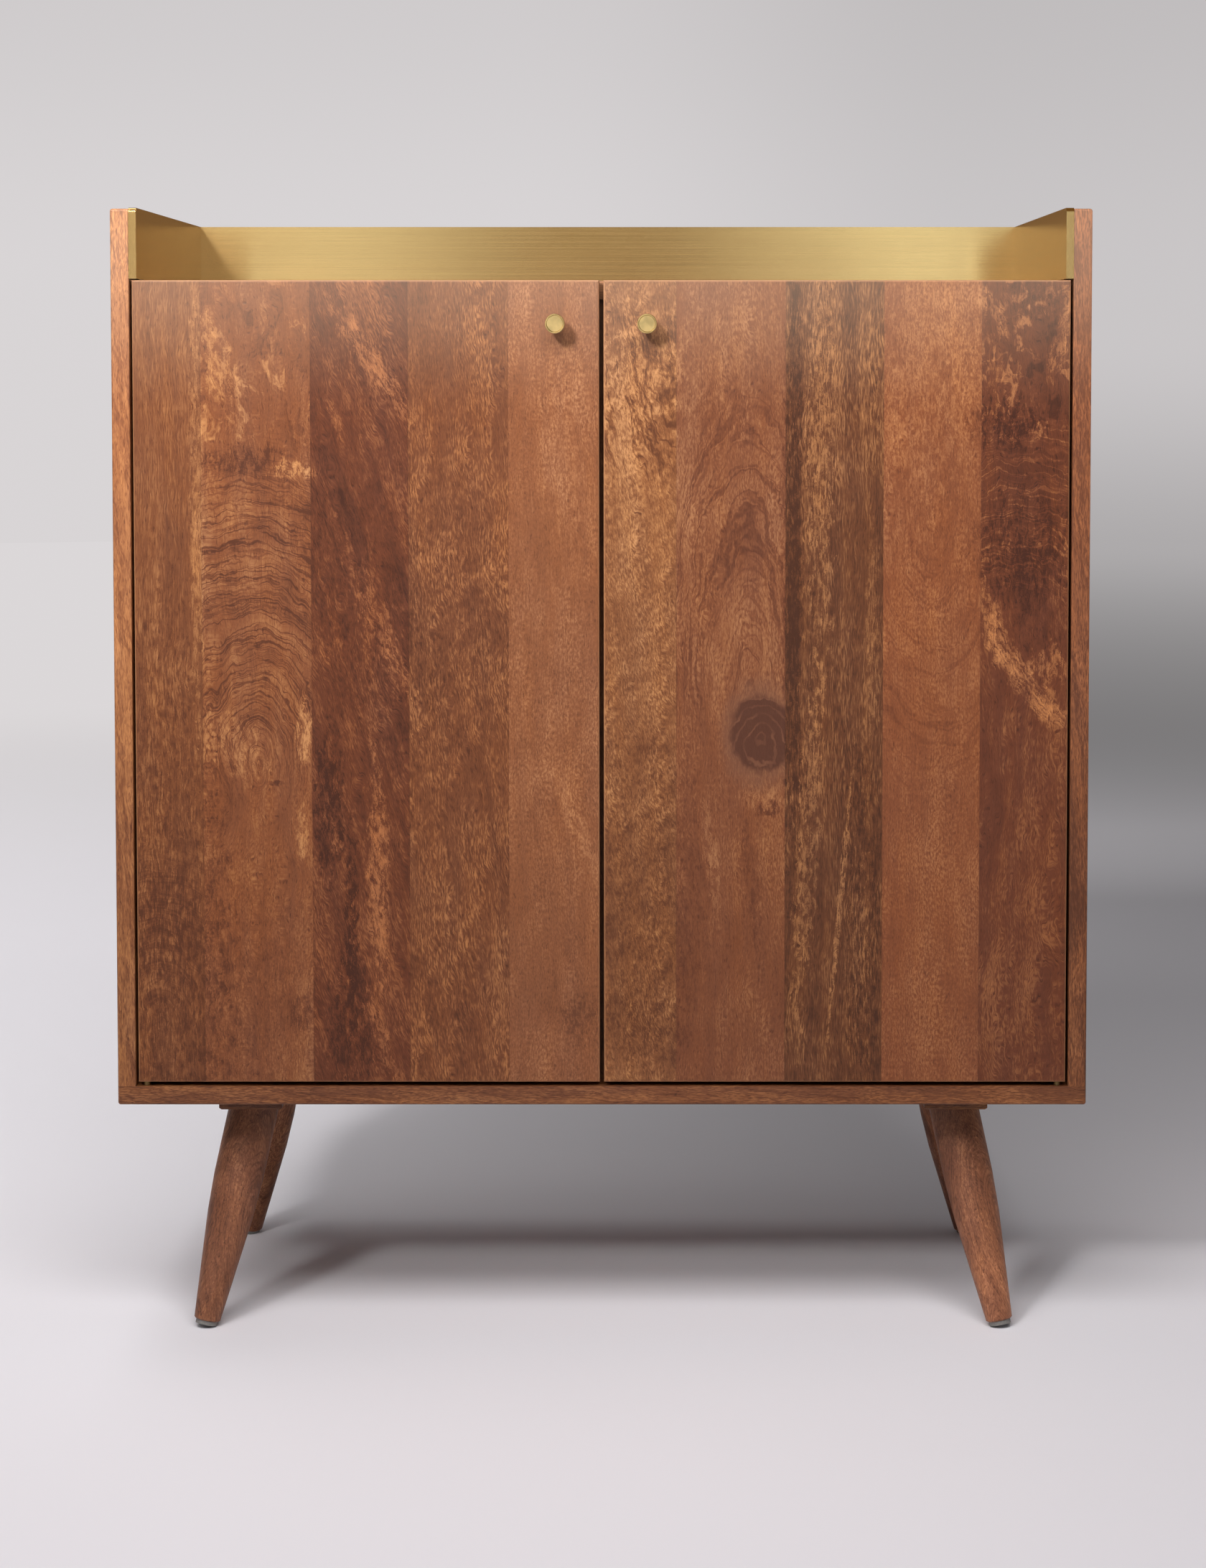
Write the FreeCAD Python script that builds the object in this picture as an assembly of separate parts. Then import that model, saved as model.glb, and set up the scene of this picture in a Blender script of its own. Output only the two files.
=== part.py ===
"""Two-door bar cabinet: brass-lined gallery top, fold-out shelf, turned splayed legs.

The frame has +Z up and +X to the right; the doors face -Y.  The origin is on the
floor, under the middle of the plan outline (knob faces to back).  Millimetres.
"""
import FreeCAD, Part
import math
import os
from FreeCAD import Placement, Rotation, Vector

# ---- carcass -------------------------------------------------------------------
width = 900.0                # over the side panels
depth = 400.0                # front edge to back edge of the side panels
height = 1057.0              # floor to the top edge of the side panels
floor_clearance = 227.0      # floor to the underside of the bottom panel
side_thickness = 17.0
bottom_thickness = 17.5
top_thickness = 17.0
divider_thickness = 16.0
divider_setback = 26.0       # front plane to the divider's front edge
housing_depth = 5.0          # how far a board is let into a side panel
divider_housing = 4.0        # how far a shelf is let into the divider
back_thickness = 8.0
back_rebate = 6.0            # overlap of the back panel on each side panel
outer_edge_round = 2.5
inner_edge_round = 0.8

# ---- gallery -------------------------------------------------------------------
gallery_rise = 65.4          # top panel to the top edge of the side panels
gallery_board_thickness = 18.0
liner_thickness = 7.0        # brass cover with its packing strip
liner_sheet = 1.0
liner_proud = 0.8            # how far the brass stands above the wood
liner_shadow_gap = 1.4       # brass to the top panel
liner_corner_radius = 4.0
liner_seat_depth = 1.0       # groove in the top panel for the packing strips' feet
liner_seat_clearance = 0.3   # groove's wall to the brass above it

# ---- doors ---------------------------------------------------------------------
door_thickness = 18.0
door_side_gap = 2.4
door_centre_gap = 4.0
door_bottom_gap = 4.0
door_back_gap = 2.5          # door to the front edge of the top panel
door_front_round = 2.0
door_back_round = 1.5
door_opening = 110.0         # degrees

# ---- pivot hinges, in the top and bottom edges of each door ----------------------
pivot_inset = 7.0            # pivot axis from the door's outer edge
pivot_setback = 6.5          # pivot axis from the door's front face
pivot_pin_radius = 2.0
pivot_running_clearance = 0.05
pivot_plate_thickness = 2.0
pivot_plate_gap = 0.4        # between the cabinet's plate and the door's plate
pivot_plate_width = 16.0
pivot_plate_length = 38.0    # behind the front edge of the top panel
pivot_plate_corner_radius = 2.5
pivot_neck_width = 6.0
pivot_neck_overlap = 2.0     # how far the neck runs into the plate's leaf
pivot_neck_angle = 68.0      # degrees, from the door's face to the neck
pivot_nose_radius = 3.5
pivot_sweep_clearance = 0.6
pivot_pin_reach = 4.5        # pin beyond the face that carries it
pivot_bore_end_clearance = 1.0
pivot_collar_radius = 3.5
pivot_thrust_clearance = 0.2
door_plate_width = 8.0
door_plate_length = 42.0
door_plate_corner_radius = 2.0
door_plate_end = 4.5         # pivot axis to the near end of the door's plate

# ---- knobs ---------------------------------------------------------------------
knob_from_edge = 40.0        # knob axis from the door's inner edge
knob_from_top = 40.0
knob_radius = 9.0
knob_reach = 22.0            # knob face from the door's face
knob_head_thickness = 9.0
knob_neck_radius = 4.2
knob_base_radius = 6.5
knob_base_thickness = 2.0
knob_foot_slope = 2.5        # run from the foot's edge up to the neck
knob_flare = 3.0             # run from the neck out to the back of the head
knob_back_radius = 8.0       # back of the head, inside its sloped edge
knob_back_slope = 1.0
knob_rim_width = 1.2
knob_rim_chamfer = 0.5
knob_dish = 0.8
knob_dish_slope = 0.6
knob_screw_radius = 2.0
knob_screw_head_radius = 4.5
knob_screw_head_height = 2.4
knob_screw_head_chamfer = 1.0
knob_screw_engagement = 12.0
screw_clearance = 0.1
screw_tip_clearance = 1.0    # screw's tip to the end of its hole

# ---- magnetic catches ------------------------------------------------------------
catch_from_centre = 24.0     # cabinet centre to the near end of a catch
catch_width = 40.0
catch_height = 14.0
catch_length = 25.0
catch_setback = 3.0          # door's back to the catch housing
magnet_width = 30.0
magnet_height = 5.0
magnet_depth = 14.0
magnet_gap = 0.4             # magnet to strike plate
strike_width = 32.0
strike_height = 12.0
strike_thickness = 1.2

# ---- fixed shelf and fold-out leaf, left bay ---------------------------------------
shelf_thickness = 16.0
fixed_shelf_top = 647.0
fixed_shelf_setback = 60.0   # front plane to the leaf's pivot line
leaf_thickness = 16.0
leaf_reach = 240.0           # pivot line to the leaf's free edge
leaf_inset = 48.0            # bay wall to the leaf, clear of the opening door
leaf_corner_radius = 30.0
leaf_clearance = 0.4         # between the folded leaf and the shelf
finger_notch_radius = 14.0
flap_hinge_offset = 105.0    # leaf centre to each hinge
flap_hinge_length = 60.0
flap_hinge_plate_width = 24.0
flap_hinge_sheet = 1.2
flap_knuckle_radius = 3.0
flap_knuckle_count = 5
flap_knuckle_gap = 0.3
flap_pin_radius = 1.5
flap_pin_clearance = 0.05

# ---- bottle cradles, left bay --------------------------------------------------------
bottle_count = 4
bottle_pitch = 104.0
bottle_hollow_radius = 43.0
bottle_lift = 12.0           # bottom panel to the underside of a bottle
cradle_thickness = 18.0
cradle_front_setback = 100.0
cradle_rear_setback = 300.0

# ---- adjustable shelf and stemware rails, right bay --------------------------------------
loose_shelf_top = 567.0
loose_shelf_setback = 45.0
loose_shelf_end_gap = 1.0
pin_radius = 2.5
pin_hole_radius = 2.55
pin_hole_depth = 9.0
pin_end_clearance = 1.0      # pin's end to the end of its hole
pin_length = 17.0
pin_hole_pitch = 48.0
pin_holes_each_way = 1
pin_column_inset = 60.0      # shelf's front and back edges to the pin columns
rail_count = 4
rail_pitch = 92.0
rail_flange_width = 66.0
rail_flange_thickness = 6.0
rail_web_width = 14.0
rail_drop = 30.0             # top panel to the underside of the flanges
rail_catch_gap = 4.0         # rear of the door catches to the rails' noses
rail_length = 290.0
rail_nose_radius = 14.0

# ---- legs ----------------------------------------------------------------------
block_size = 60.0
block_thickness = 22.0
block_chamfer = 2.0
leg_from_end = 114.0         # cabinet's end to the leg's top centre
leg_from_face = 95.0         # front or back face to the leg's top centre
leg_splay = 42.5             # sideways and lengthways run between block and floor
leg_radius = 23.5
leg_shoulder = 89.0          # along the leg, from the block to the start of the taper
leg_shoulder_blend = 18.0
foot_radius = 12.4
foot_chamfer = 1.2
glide_radius = 10.3
glide_thickness = 4.0
glide_flat = 0.6             # how much of the glide's rim is flattened on the floor
hanger_bolt_radius = 4.0
hanger_bolt_in_leg = 45.0
hanger_bolt_clearance = 0.1
block_screw_inset = 10.0
block_screw_radius = 2.0
block_screw_length = 32.0
block_screw_head_radius = 4.0
block_screw_head_height = 2.2

# ---- back panel screws -----------------------------------------------------------
back_screw_count = 3         # up each side panel and up the divider
back_screw_radius = 1.5
back_screw_head_radius = 2.8
back_screw_head_height = 1.6
back_screw_length = 26.0
back_screw_margin = 60.0

# ---- places worked out from the sizes ----------------------------------------------
front = (knob_reach - depth) / 2.0
back = front + depth
half_width = width / 2.0
inner_half = half_width - side_thickness
bottom_top = floor_clearance + bottom_thickness
top_face = height - gallery_rise
top_underside = top_face - top_thickness
top_front = front + door_thickness + door_back_gap
back_panel_front = back - back_thickness
gallery_board_front = back - gallery_board_thickness
liner_back_face = gallery_board_front - liner_thickness
door_back = front + door_thickness
door_outer = door_side_gap - inner_half
door_inner = -door_centre_gap / 2.0
door_bottom = bottom_top + door_bottom_gap
pivot_x = door_outer + pivot_inset
pivot_y = front + pivot_setback
divider_half = divider_thickness / 2.0
rail_front = door_back + catch_setback + catch_length + rail_catch_gap
fixed_shelf_front = front + fixed_shelf_setback
leaf_left = leaf_inset - inner_half
leaf_right = -divider_half - leaf_inset
leaf_centre = (leaf_left + leaf_right) / 2.0
leaf_pivot_z = fixed_shelf_top + leaf_clearance / 2.0
left_bay_centre = -(inner_half + divider_half) / 2.0
right_bay_centre = -left_bay_centre

nodes = {}


def block(x_span, y_span, z_span):
    """Rectangular solid between three pairs of coordinates."""
    low = Vector(min(x_span), min(y_span), min(z_span))
    high = Vector(max(x_span), max(y_span), max(z_span))
    size = high - low
    return Part.makeBox(size.x, size.y, size.z, low)


def rod(start, end, radius):
    """Round bar between two points."""
    run = end - start
    return Part.makeCylinder(radius, run.Length, start, run)


def cone(start, end, start_radius, end_radius):
    """Tapered round bar between two points."""
    run = end - start
    return Part.makeCone(start_radius, end_radius, run.Length, start, run)


def plan_prism(points, z_low, z_high):
    """Upright prism over a closed outline of (x, y) points."""
    corners = [Vector(x, y, z_low) for x, y in points]
    outline = Part.makePolygon(corners + corners[:1])
    return Part.Face(outline).extrude(Vector(0, 0, z_high - z_low))


def turned(profile):
    """Solid turned about +Z; the profile's (radius, height) points start and end on the axis."""
    points = [Vector(radius, 0, z) for radius, z in profile]
    outline = Part.Face(Part.makePolygon(points + points[:1]))
    return outline.revolve(Vector(0, 0, 0), Vector(0, 0, 1), 360)


def edges_on(shape, **limits):
    """Edges that lie wholly at the given x, y or z."""
    found = []
    for edge in shape.Edges:
        box = edge.BoundBox
        spans = {"x": (box.XMin, box.XMax), "y": (box.YMin, box.YMax), "z": (box.ZMin, box.ZMax)}
        if all(abs(end - place) < 1e-4 for axis, place in limits.items() for end in spans[axis]):
            found.append(edge)
    return found


def upright_edges(shape):
    """Edges of a plate that run along Z."""
    return [edge for edge in shape.Edges if edge.BoundBox.ZLength > shape.BoundBox.ZLength / 2.0]


def mirrored(shape):
    """The same piece for the other side of the cabinet."""
    return shape.mirror(Vector(0, 0, 0), Vector(1, 0, 0))


def screw(head_face, direction, length, radius, head_radius, head_height):
    """Countersunk screw; head_face is the centre of its flush face."""
    run = Vector(direction).normalize()
    under_head = head_face + run * head_height
    head = cone(head_face, under_head, head_radius, radius)
    return head.fuse(rod(head_face, head_face + run * length, radius)).removeSplitter()


# ---- carcass -------------------------------------------------------------------
def side_panel_blank():
    """Left side panel with its rounded edges and the housing and rebate both sides share."""
    panel = block((-half_width, -inner_half), (front, back), (bottom_top, height))
    outer = edges_on(panel, x=-half_width, z=height)
    outer += edges_on(panel, x=-half_width, y=front)
    outer += edges_on(panel, y=front, z=height)
    panel = panel.makeFillet(outer_edge_round, outer)
    panel = panel.makeFillet(inner_edge_round, edges_on(panel, x=-inner_half, z=height))
    housing = block((-inner_half - housing_depth, -inner_half), (top_front, back_panel_front),
                    (top_underside, top_face))
    rebate = block((-inner_half - back_rebate, -inner_half), (back_panel_front, back),
                   (bottom_top, top_face))
    return panel.cut(housing).cut(rebate)


def pin_hole_places():
    """(y, z) of every shelf-pin hole in the right bay."""
    columns = (front + loose_shelf_setback + pin_column_inset, back_panel_front - pin_column_inset)
    rest = loose_shelf_top - shelf_thickness - pin_radius
    steps = range(-pin_holes_each_way, pin_holes_each_way + 1)
    return [(column, rest + step * pin_hole_pitch) for column in columns for step in steps]


def drill_pin_holes(panel, face_x, direction):
    """Blind shelf-pin holes going into a panel from its face."""
    for y, z in pin_hole_places():
        mouth = Vector(face_x, y, z)
        panel = panel.cut(rod(mouth, mouth + Vector(direction * pin_hole_depth, 0, 0), pin_hole_radius))
    return panel


def back_screw_places():
    """Centres of the screw heads on the back face: up both sides and the divider."""
    low = bottom_top + back_screw_margin
    step = (top_underside - back_screw_margin - low) / (back_screw_count - 1)
    columns = (-inner_half - back_rebate / 2.0, 0.0, inner_half + back_rebate / 2.0)
    return [Vector(x, back, low + step * row) for x in columns for row in range(back_screw_count)]


def back_screw(place, grow=0.0):
    """One back-panel screw, or the hole for it when grow is the clearance."""
    return screw(place, (0, -1, 0), back_screw_length + grow, back_screw_radius + grow,
                 back_screw_head_radius + grow, back_screw_head_height)


def drill_back_screws(shape):
    for place in back_screw_places():
        if shape.BoundBox.XMin < place.x < shape.BoundBox.XMax:
            shape = shape.cut(back_screw(place, screw_clearance))
    return shape


def build_carcass():
    blank = side_panel_blank()
    shelf_housing = block((-inner_half - housing_depth, -inner_half),
                          (fixed_shelf_front, back_panel_front),
                          (fixed_shelf_top - shelf_thickness, fixed_shelf_top))
    nodes["left_side_panel"] = drill_back_screws(blank.cut(shelf_housing))
    nodes["right_side_panel"] = drill_back_screws(drill_pin_holes(mirrored(blank), inner_half, 1))

    bottom = block((-half_width, half_width), (front, back), (floor_clearance, bottom_top))
    rounded = edges_on(bottom, y=front, z=floor_clearance)
    for end in (-half_width, half_width):
        rounded += edges_on(bottom, x=end, z=floor_clearance)
        rounded += edges_on(bottom, x=end, y=front)
    bottom = bottom.makeFillet(outer_edge_round, rounded)
    for plate in cabinet_pivot_plates("bottom"):
        bottom = bottom.cut(plate)
    for place in block_centres():
        bottom = bottom.cut(hanger_bolt(place, hanger_bolt_clearance))
        for head in block_screw_places(place):
            bottom = bottom.cut(block_screw(head, screw_clearance))
    nodes["bottom_panel"] = bottom

    top = block((-inner_half - housing_depth, inner_half + housing_depth),
                (top_front, back_panel_front), (top_underside, top_face))
    top = top.makeFillet(inner_edge_round, edges_on(top, y=top_front, z=top_face))
    top = top.cut(strip_groove())
    for plate in cabinet_pivot_plates("top"):
        top = top.cut(plate)
    nodes["top_panel"] = top

    divider = block((-divider_half, divider_half), (front + divider_setback, back_panel_front),
                    (bottom_top, top_underside))
    shelf_housing = block((-divider_half, divider_housing - divider_half),
                          (fixed_shelf_front, back_panel_front),
                          (fixed_shelf_top - shelf_thickness, fixed_shelf_top))
    divider = drill_pin_holes(divider.cut(shelf_housing), divider_half, -1)
    nodes["centre_divider"] = drill_back_screws(divider)

    back_panel = block((-inner_half - back_rebate, inner_half + back_rebate),
                       (back_panel_front, back), (bottom_top, top_face))
    nodes["back_panel"] = drill_back_screws(back_panel)
    nodes["back_panel_screws"] = Part.makeCompound([back_screw(place) for place in back_screw_places()])


# ---- gallery -------------------------------------------------------------------
def gallery_strip(x_span, y_span, front_radius):
    """Brass-covered strip in the gallery; its top front corner is an arc when a radius is given."""
    low = top_face + liner_shadow_gap
    high = height + liner_proud
    strip = block(x_span, y_span, (low, high))
    if front_radius > 0:
        strip = strip.makeFillet(front_radius, edges_on(strip, y=min(y_span), z=high))
    return strip


def strip_groove():
    """Groove round three sides of the top panel, in which the packing strips stand."""
    z_span = (top_face - liner_seat_depth, top_face)
    outside = block((-inner_half, inner_half), (top_front, gallery_board_front), z_span)
    field_half = inner_half - liner_thickness - liner_seat_clearance
    field_back = liner_back_face - liner_seat_clearance
    return outside.cut(block((-field_half, field_half), (top_front, field_back), z_span))


def packing_strip(x_span, y_span):
    """Wood strip that fills a brass cover; behind the doors its foot stands in the groove."""
    inner_x = (min(x_span) + liner_sheet, max(x_span) - liner_sheet)
    inner_y = (min(y_span) + liner_sheet, max(y_span) - liner_sheet)
    low = top_face + liner_shadow_gap
    high = height + liner_proud - liner_sheet
    strip = block(inner_x, inner_y, (low, high))
    corner = max(liner_corner_radius - liner_sheet, liner_sheet)
    strip = strip.makeFillet(corner, edges_on(strip, y=min(inner_y), z=high))
    foot_front = max(min(inner_y), top_front + inner_edge_round)
    foot = block(inner_x, (foot_front, max(inner_y)), (top_face - liner_seat_depth, low))
    return strip.fuse(foot).removeSplitter()


def build_gallery():
    nodes["gallery_back_board"] = gallery_board()
    side_x = (-inner_half, liner_thickness - inner_half)
    side_y = (front, gallery_board_front)
    back_x = (liner_thickness - inner_half, inner_half - liner_thickness)
    back_y = (liner_back_face, gallery_board_front)
    side_core = packing_strip(side_x, side_y)
    side_cover = gallery_strip(side_x, side_y, liner_corner_radius).cut(side_core)
    back_core = packing_strip(back_x, back_y)
    nodes["gallery_liner_left"] = side_cover
    nodes["gallery_liner_right"] = mirrored(side_cover)
    nodes["gallery_liner_back"] = gallery_strip(back_x, back_y, 0.0).cut(back_core)
    nodes["gallery_packing_strips"] = Part.makeCompound([side_core, back_core, mirrored(side_core)])


def gallery_board():
    board = block((-inner_half, inner_half), (gallery_board_front, back), (top_face, height))
    return board.makeFillet(outer_edge_round, edges_on(board, y=back, z=height))


# ---- pivot hinges ----------------------------------------------------------------
def neck_outline(half_width_of_neck, reach):
    """Plan outline of the neck that runs back from the left-hand pivot axis."""
    angle = math.radians(pivot_neck_angle)
    along = Vector(math.cos(angle), math.sin(angle), 0)
    across = Vector(math.sin(angle), -math.cos(angle), 0) * half_width_of_neck
    axis = Vector(pivot_x, pivot_y, 0)
    corners = (axis + across, axis + along * reach + across, axis + along * reach - across, axis - across)
    return [(corner.x, corner.y) for corner in corners]


def left_pivot_plate(plate_bottom, pin_base, pin_tip, collar_top):
    """Cabinet-side plate: a leaf on the panel, a neck to the pivot axis, and a riveted pin."""
    plate_top = plate_bottom + pivot_plate_thickness
    leaf_front = top_front + inner_edge_round
    neck_depth = leaf_front + pivot_neck_overlap - pivot_y
    neck_reach = neck_depth / math.sin(math.radians(pivot_neck_angle))
    neck = plan_prism(neck_outline(pivot_neck_width / 2.0, neck_reach), plate_bottom, plate_top)
    nose = rod(Vector(pivot_x, pivot_y, plate_bottom), Vector(pivot_x, pivot_y, plate_top),
               pivot_nose_radius)
    neck_end_x = pivot_x + neck_reach * math.cos(math.radians(pivot_neck_angle))
    leaf_x = (neck_end_x - pivot_plate_width / 2.0, neck_end_x + pivot_plate_width / 2.0)
    leaf = block(leaf_x, (leaf_front, top_front + pivot_plate_length), (plate_bottom, plate_top))
    leaf = leaf.makeFillet(pivot_plate_corner_radius, upright_edges(leaf))
    pin = rod(Vector(pivot_x, pivot_y, pin_base), Vector(pivot_x, pivot_y, pin_tip), pivot_pin_radius)
    plate = leaf.fuse(neck).fuse(nose).fuse(pin)
    if collar_top > plate_top:
        plate = plate.fuse(rod(Vector(pivot_x, pivot_y, plate_bottom),
                               Vector(pivot_x, pivot_y, collar_top), pivot_collar_radius))
    return plate.removeSplitter()


def cabinet_pivot_plates(end):
    """Left and right cabinet plates at the top or bottom of the doors."""
    if end == "top":
        low = top_face - pivot_plate_thickness
        plate = left_pivot_plate(low, top_face, low - pivot_pin_reach, top_face)
    else:
        low = bottom_top - pivot_plate_thickness
        collar_top = door_bottom - pivot_thrust_clearance
        plate = left_pivot_plate(low, low, door_bottom + pivot_pin_reach, collar_top)
    return plate, mirrored(plate)


def door_plate_blank(z_span):
    """Plate let into the left door's edge, along the door."""
    plate = block((pivot_x - door_plate_end, pivot_x - door_plate_end + door_plate_length),
                  (pivot_y - door_plate_width / 2.0, pivot_y + door_plate_width / 2.0), z_span)
    return plate.makeFillet(door_plate_corner_radius, upright_edges(plate))


def swing_recess(z_span):
    """Room in the door's top edge for the cabinet plate's neck, over the door's whole swing."""
    half_neck = pivot_neck_width / 2.0 + pivot_sweep_clearance
    axis = Vector(pivot_x, pivot_y, 0)
    closed = math.radians(pivot_neck_angle)
    opened = math.radians(pivot_neck_angle + door_opening)
    beyond = 2.0 * door_thickness
    near = axis + Vector(math.sin(closed), -math.cos(closed), 0) * half_neck
    far = near + Vector(math.cos(closed), math.sin(closed), 0) * beyond
    low_near = axis + Vector(-math.sin(opened), math.cos(opened), 0) * half_neck
    low_far = low_near + Vector(math.cos(opened), math.sin(opened), 0) * beyond
    corner = Vector(low_far.x, far.y, 0)
    outline = [(point.x, point.y) for point in (near, far, corner, low_far, low_near)]
    fan = plan_prism(outline, min(z_span), max(z_span))
    nose = rod(Vector(pivot_x, pivot_y, min(z_span)), Vector(pivot_x, pivot_y, max(z_span)),
               pivot_nose_radius + pivot_sweep_clearance)
    return fan.fuse(nose).removeSplitter()


def pivot_bore(z_span, radius):
    return rod(Vector(pivot_x, pivot_y, min(z_span)), Vector(pivot_x, pivot_y, max(z_span)), radius)


# ---- doors ---------------------------------------------------------------------
def knob_axis_point(y):
    return Vector(door_inner - knob_from_edge, y, top_face - knob_from_top)


def knob():
    """Turned knob: foot, neck and a flat head with a thin raised rim round its sunk face."""
    head_back = knob_reach - knob_head_thickness
    rim_inner = knob_radius - knob_rim_width
    face = knob_reach - knob_dish
    body = turned([
        (0.0, 0.0),
        (knob_base_radius, 0.0),
        (knob_base_radius, knob_base_thickness),
        (knob_neck_radius, knob_base_thickness + knob_foot_slope),
        (knob_neck_radius, head_back - knob_flare),
        (knob_back_radius, head_back),
        (knob_radius, head_back + knob_back_slope),
        (knob_radius, knob_reach - knob_rim_chamfer),
        (knob_radius - knob_rim_chamfer, knob_reach),
        (rim_inner, knob_reach),
        (rim_inner - knob_dish_slope, face),
        (0.0, face),
    ])
    body.Placement = Placement(knob_axis_point(front), Rotation(Vector(0, 0, 1), Vector(0, -1, 0)))
    screw_hole = rod(knob_axis_point(front), knob_axis_point(front - knob_screw_engagement),
                     knob_screw_radius + screw_clearance)
    return body.cut(screw_hole)


def knob_screw():
    """Pan-head screw from inside the door into the knob."""
    tip = knob_axis_point(front - knob_screw_engagement + screw_tip_clearance)
    shank = rod(tip, knob_axis_point(door_back), knob_screw_radius)
    head = rod(knob_axis_point(door_back), knob_axis_point(door_back + knob_screw_head_height),
               knob_screw_head_radius)
    rim = edges_on(head, y=door_back + knob_screw_head_height)
    head = head.makeChamfer(knob_screw_head_chamfer, rim)
    return shank.fuse(head).removeSplitter()


def strike_plate():
    """Steel plate on the back of the left door, facing the magnet."""
    middle = -(catch_from_centre + catch_width / 2.0)
    z_middle = top_underside - catch_height / 2.0
    return block((middle - strike_width / 2.0, middle + strike_width / 2.0),
                 (door_back, door_back + strike_thickness),
                 (z_middle - strike_height / 2.0, z_middle + strike_height / 2.0))


def left_door_pieces():
    """The left door's pieces, by the name each has after its side."""
    panel = block((door_outer, door_inner), (front, door_back), (door_bottom, top_face))
    panel = panel.makeFillet(door_front_round, edges_on(panel, y=front))
    panel = panel.makeFillet(door_back_round, edges_on(panel, y=door_back))

    plate_floor = top_face - pivot_plate_thickness - pivot_plate_gap
    recess_span = (plate_floor, top_face)
    top_span = (plate_floor - pivot_plate_thickness, top_face)
    bottom_span = (door_bottom, door_bottom + pivot_plate_thickness)
    recess = swing_recess(recess_span)
    pin_bore = pivot_pin_radius + pivot_running_clearance
    bore_depth = pivot_pin_reach + pivot_bore_end_clearance
    bores = pivot_bore((top_face - pivot_plate_thickness - bore_depth, top_face), pin_bore)
    bores = bores.fuse(pivot_bore((door_bottom, door_bottom + bore_depth), pin_bore))
    knob_hole = rod(knob_axis_point(front), knob_axis_point(door_back),
                    knob_screw_radius + screw_clearance)

    top_plate = door_plate_blank(top_span)
    bottom_plate = door_plate_blank(bottom_span)
    panel = panel.cut(top_plate).cut(bottom_plate).cut(recess).cut(bores).cut(knob_hole)
    return {
        "door": panel,
        "door_top_plate": top_plate.cut(recess).cut(bores),
        "door_bottom_plate": bottom_plate.cut(bores),
        "knob": knob(),
        "knob_screw": knob_screw(),
        "strike_plate": strike_plate(),
    }


def build_doors():
    for name, piece in left_door_pieces().items():
        nodes["left_" + name] = piece
        nodes["right_" + name] = mirrored(piece)
    for end in ("top", "bottom"):
        left, right = cabinet_pivot_plates(end)
        nodes["left_" + end + "_pivot_plate"] = left
        nodes["right_" + end + "_pivot_plate"] = right


# ---- magnetic catches ------------------------------------------------------------
def build_catches():
    x_span = (-catch_from_centre - catch_width, -catch_from_centre)
    middle = sum(x_span) / 2.0
    z_middle = top_underside - catch_height / 2.0
    housing_front = door_back + catch_setback
    housing = block(x_span, (housing_front, housing_front + catch_length),
                    (top_underside - catch_height, top_underside))
    lower = edges_on(housing, z=top_underside - catch_height)
    housing = housing.makeFillet(inner_edge_round, lower)
    magnet_front = door_back + strike_thickness + magnet_gap
    magnet = block((middle - magnet_width / 2.0, middle + magnet_width / 2.0),
                   (magnet_front, magnet_front + magnet_depth),
                   (z_middle - magnet_height / 2.0, z_middle + magnet_height / 2.0))
    housing = housing.cut(magnet)
    nodes["left_catch_housing"] = housing
    nodes["right_catch_housing"] = mirrored(housing)
    nodes["catch_magnets"] = Part.makeCompound([magnet, mirrored(magnet)])


# ---- fixed shelf and fold-out leaf ---------------------------------------------------
def flap_axis_point(x):
    return Vector(x, fixed_shelf_front, leaf_pivot_z)


def flap_hinge(centre):
    """(fixed half, moving half, pin) of one flap hinge, drawn with the leaf folded."""
    start = centre - flap_hinge_length / 2.0
    pitch = flap_hinge_length / flap_knuckle_count
    y_span = (fixed_shelf_front, fixed_shelf_front + flap_hinge_plate_width)
    halves = []
    for side in (-1, 1):
        inner = leaf_pivot_z + side * leaf_clearance / 2.0
        plate = block((start, start + flap_hinge_length), y_span, (inner, inner + side * flap_hinge_sheet))
        own_parity = 0 if side < 0 else 1
        for index in range(flap_knuckle_count):
            low = start + index * pitch
            if index % 2 == own_parity:
                inset = 0.0 if index == 0 else flap_knuckle_gap / 2.0
                outset = 0.0 if index == flap_knuckle_count - 1 else flap_knuckle_gap / 2.0
                knuckle = rod(flap_axis_point(low + inset), flap_axis_point(low + pitch - outset),
                              flap_knuckle_radius)
                plate = plate.fuse(knuckle)
            else:
                room = rod(flap_axis_point(low), flap_axis_point(low + pitch),
                           flap_knuckle_radius + flap_knuckle_gap)
                plate = plate.cut(room)
        bore = rod(flap_axis_point(start), flap_axis_point(start + flap_hinge_length),
                   flap_pin_radius + flap_pin_clearance)
        halves.append(plate.cut(bore).removeSplitter())
    pin = rod(flap_axis_point(start), flap_axis_point(start + flap_hinge_length), flap_pin_radius)
    return halves[0], halves[1], pin


def knuckle_room(centre):
    """Groove across the joint for a hinge's knuckles."""
    reach = flap_hinge_length / 2.0 + flap_knuckle_gap
    return rod(flap_axis_point(centre - reach), flap_axis_point(centre + reach),
               flap_knuckle_radius + flap_knuckle_gap)


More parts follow.
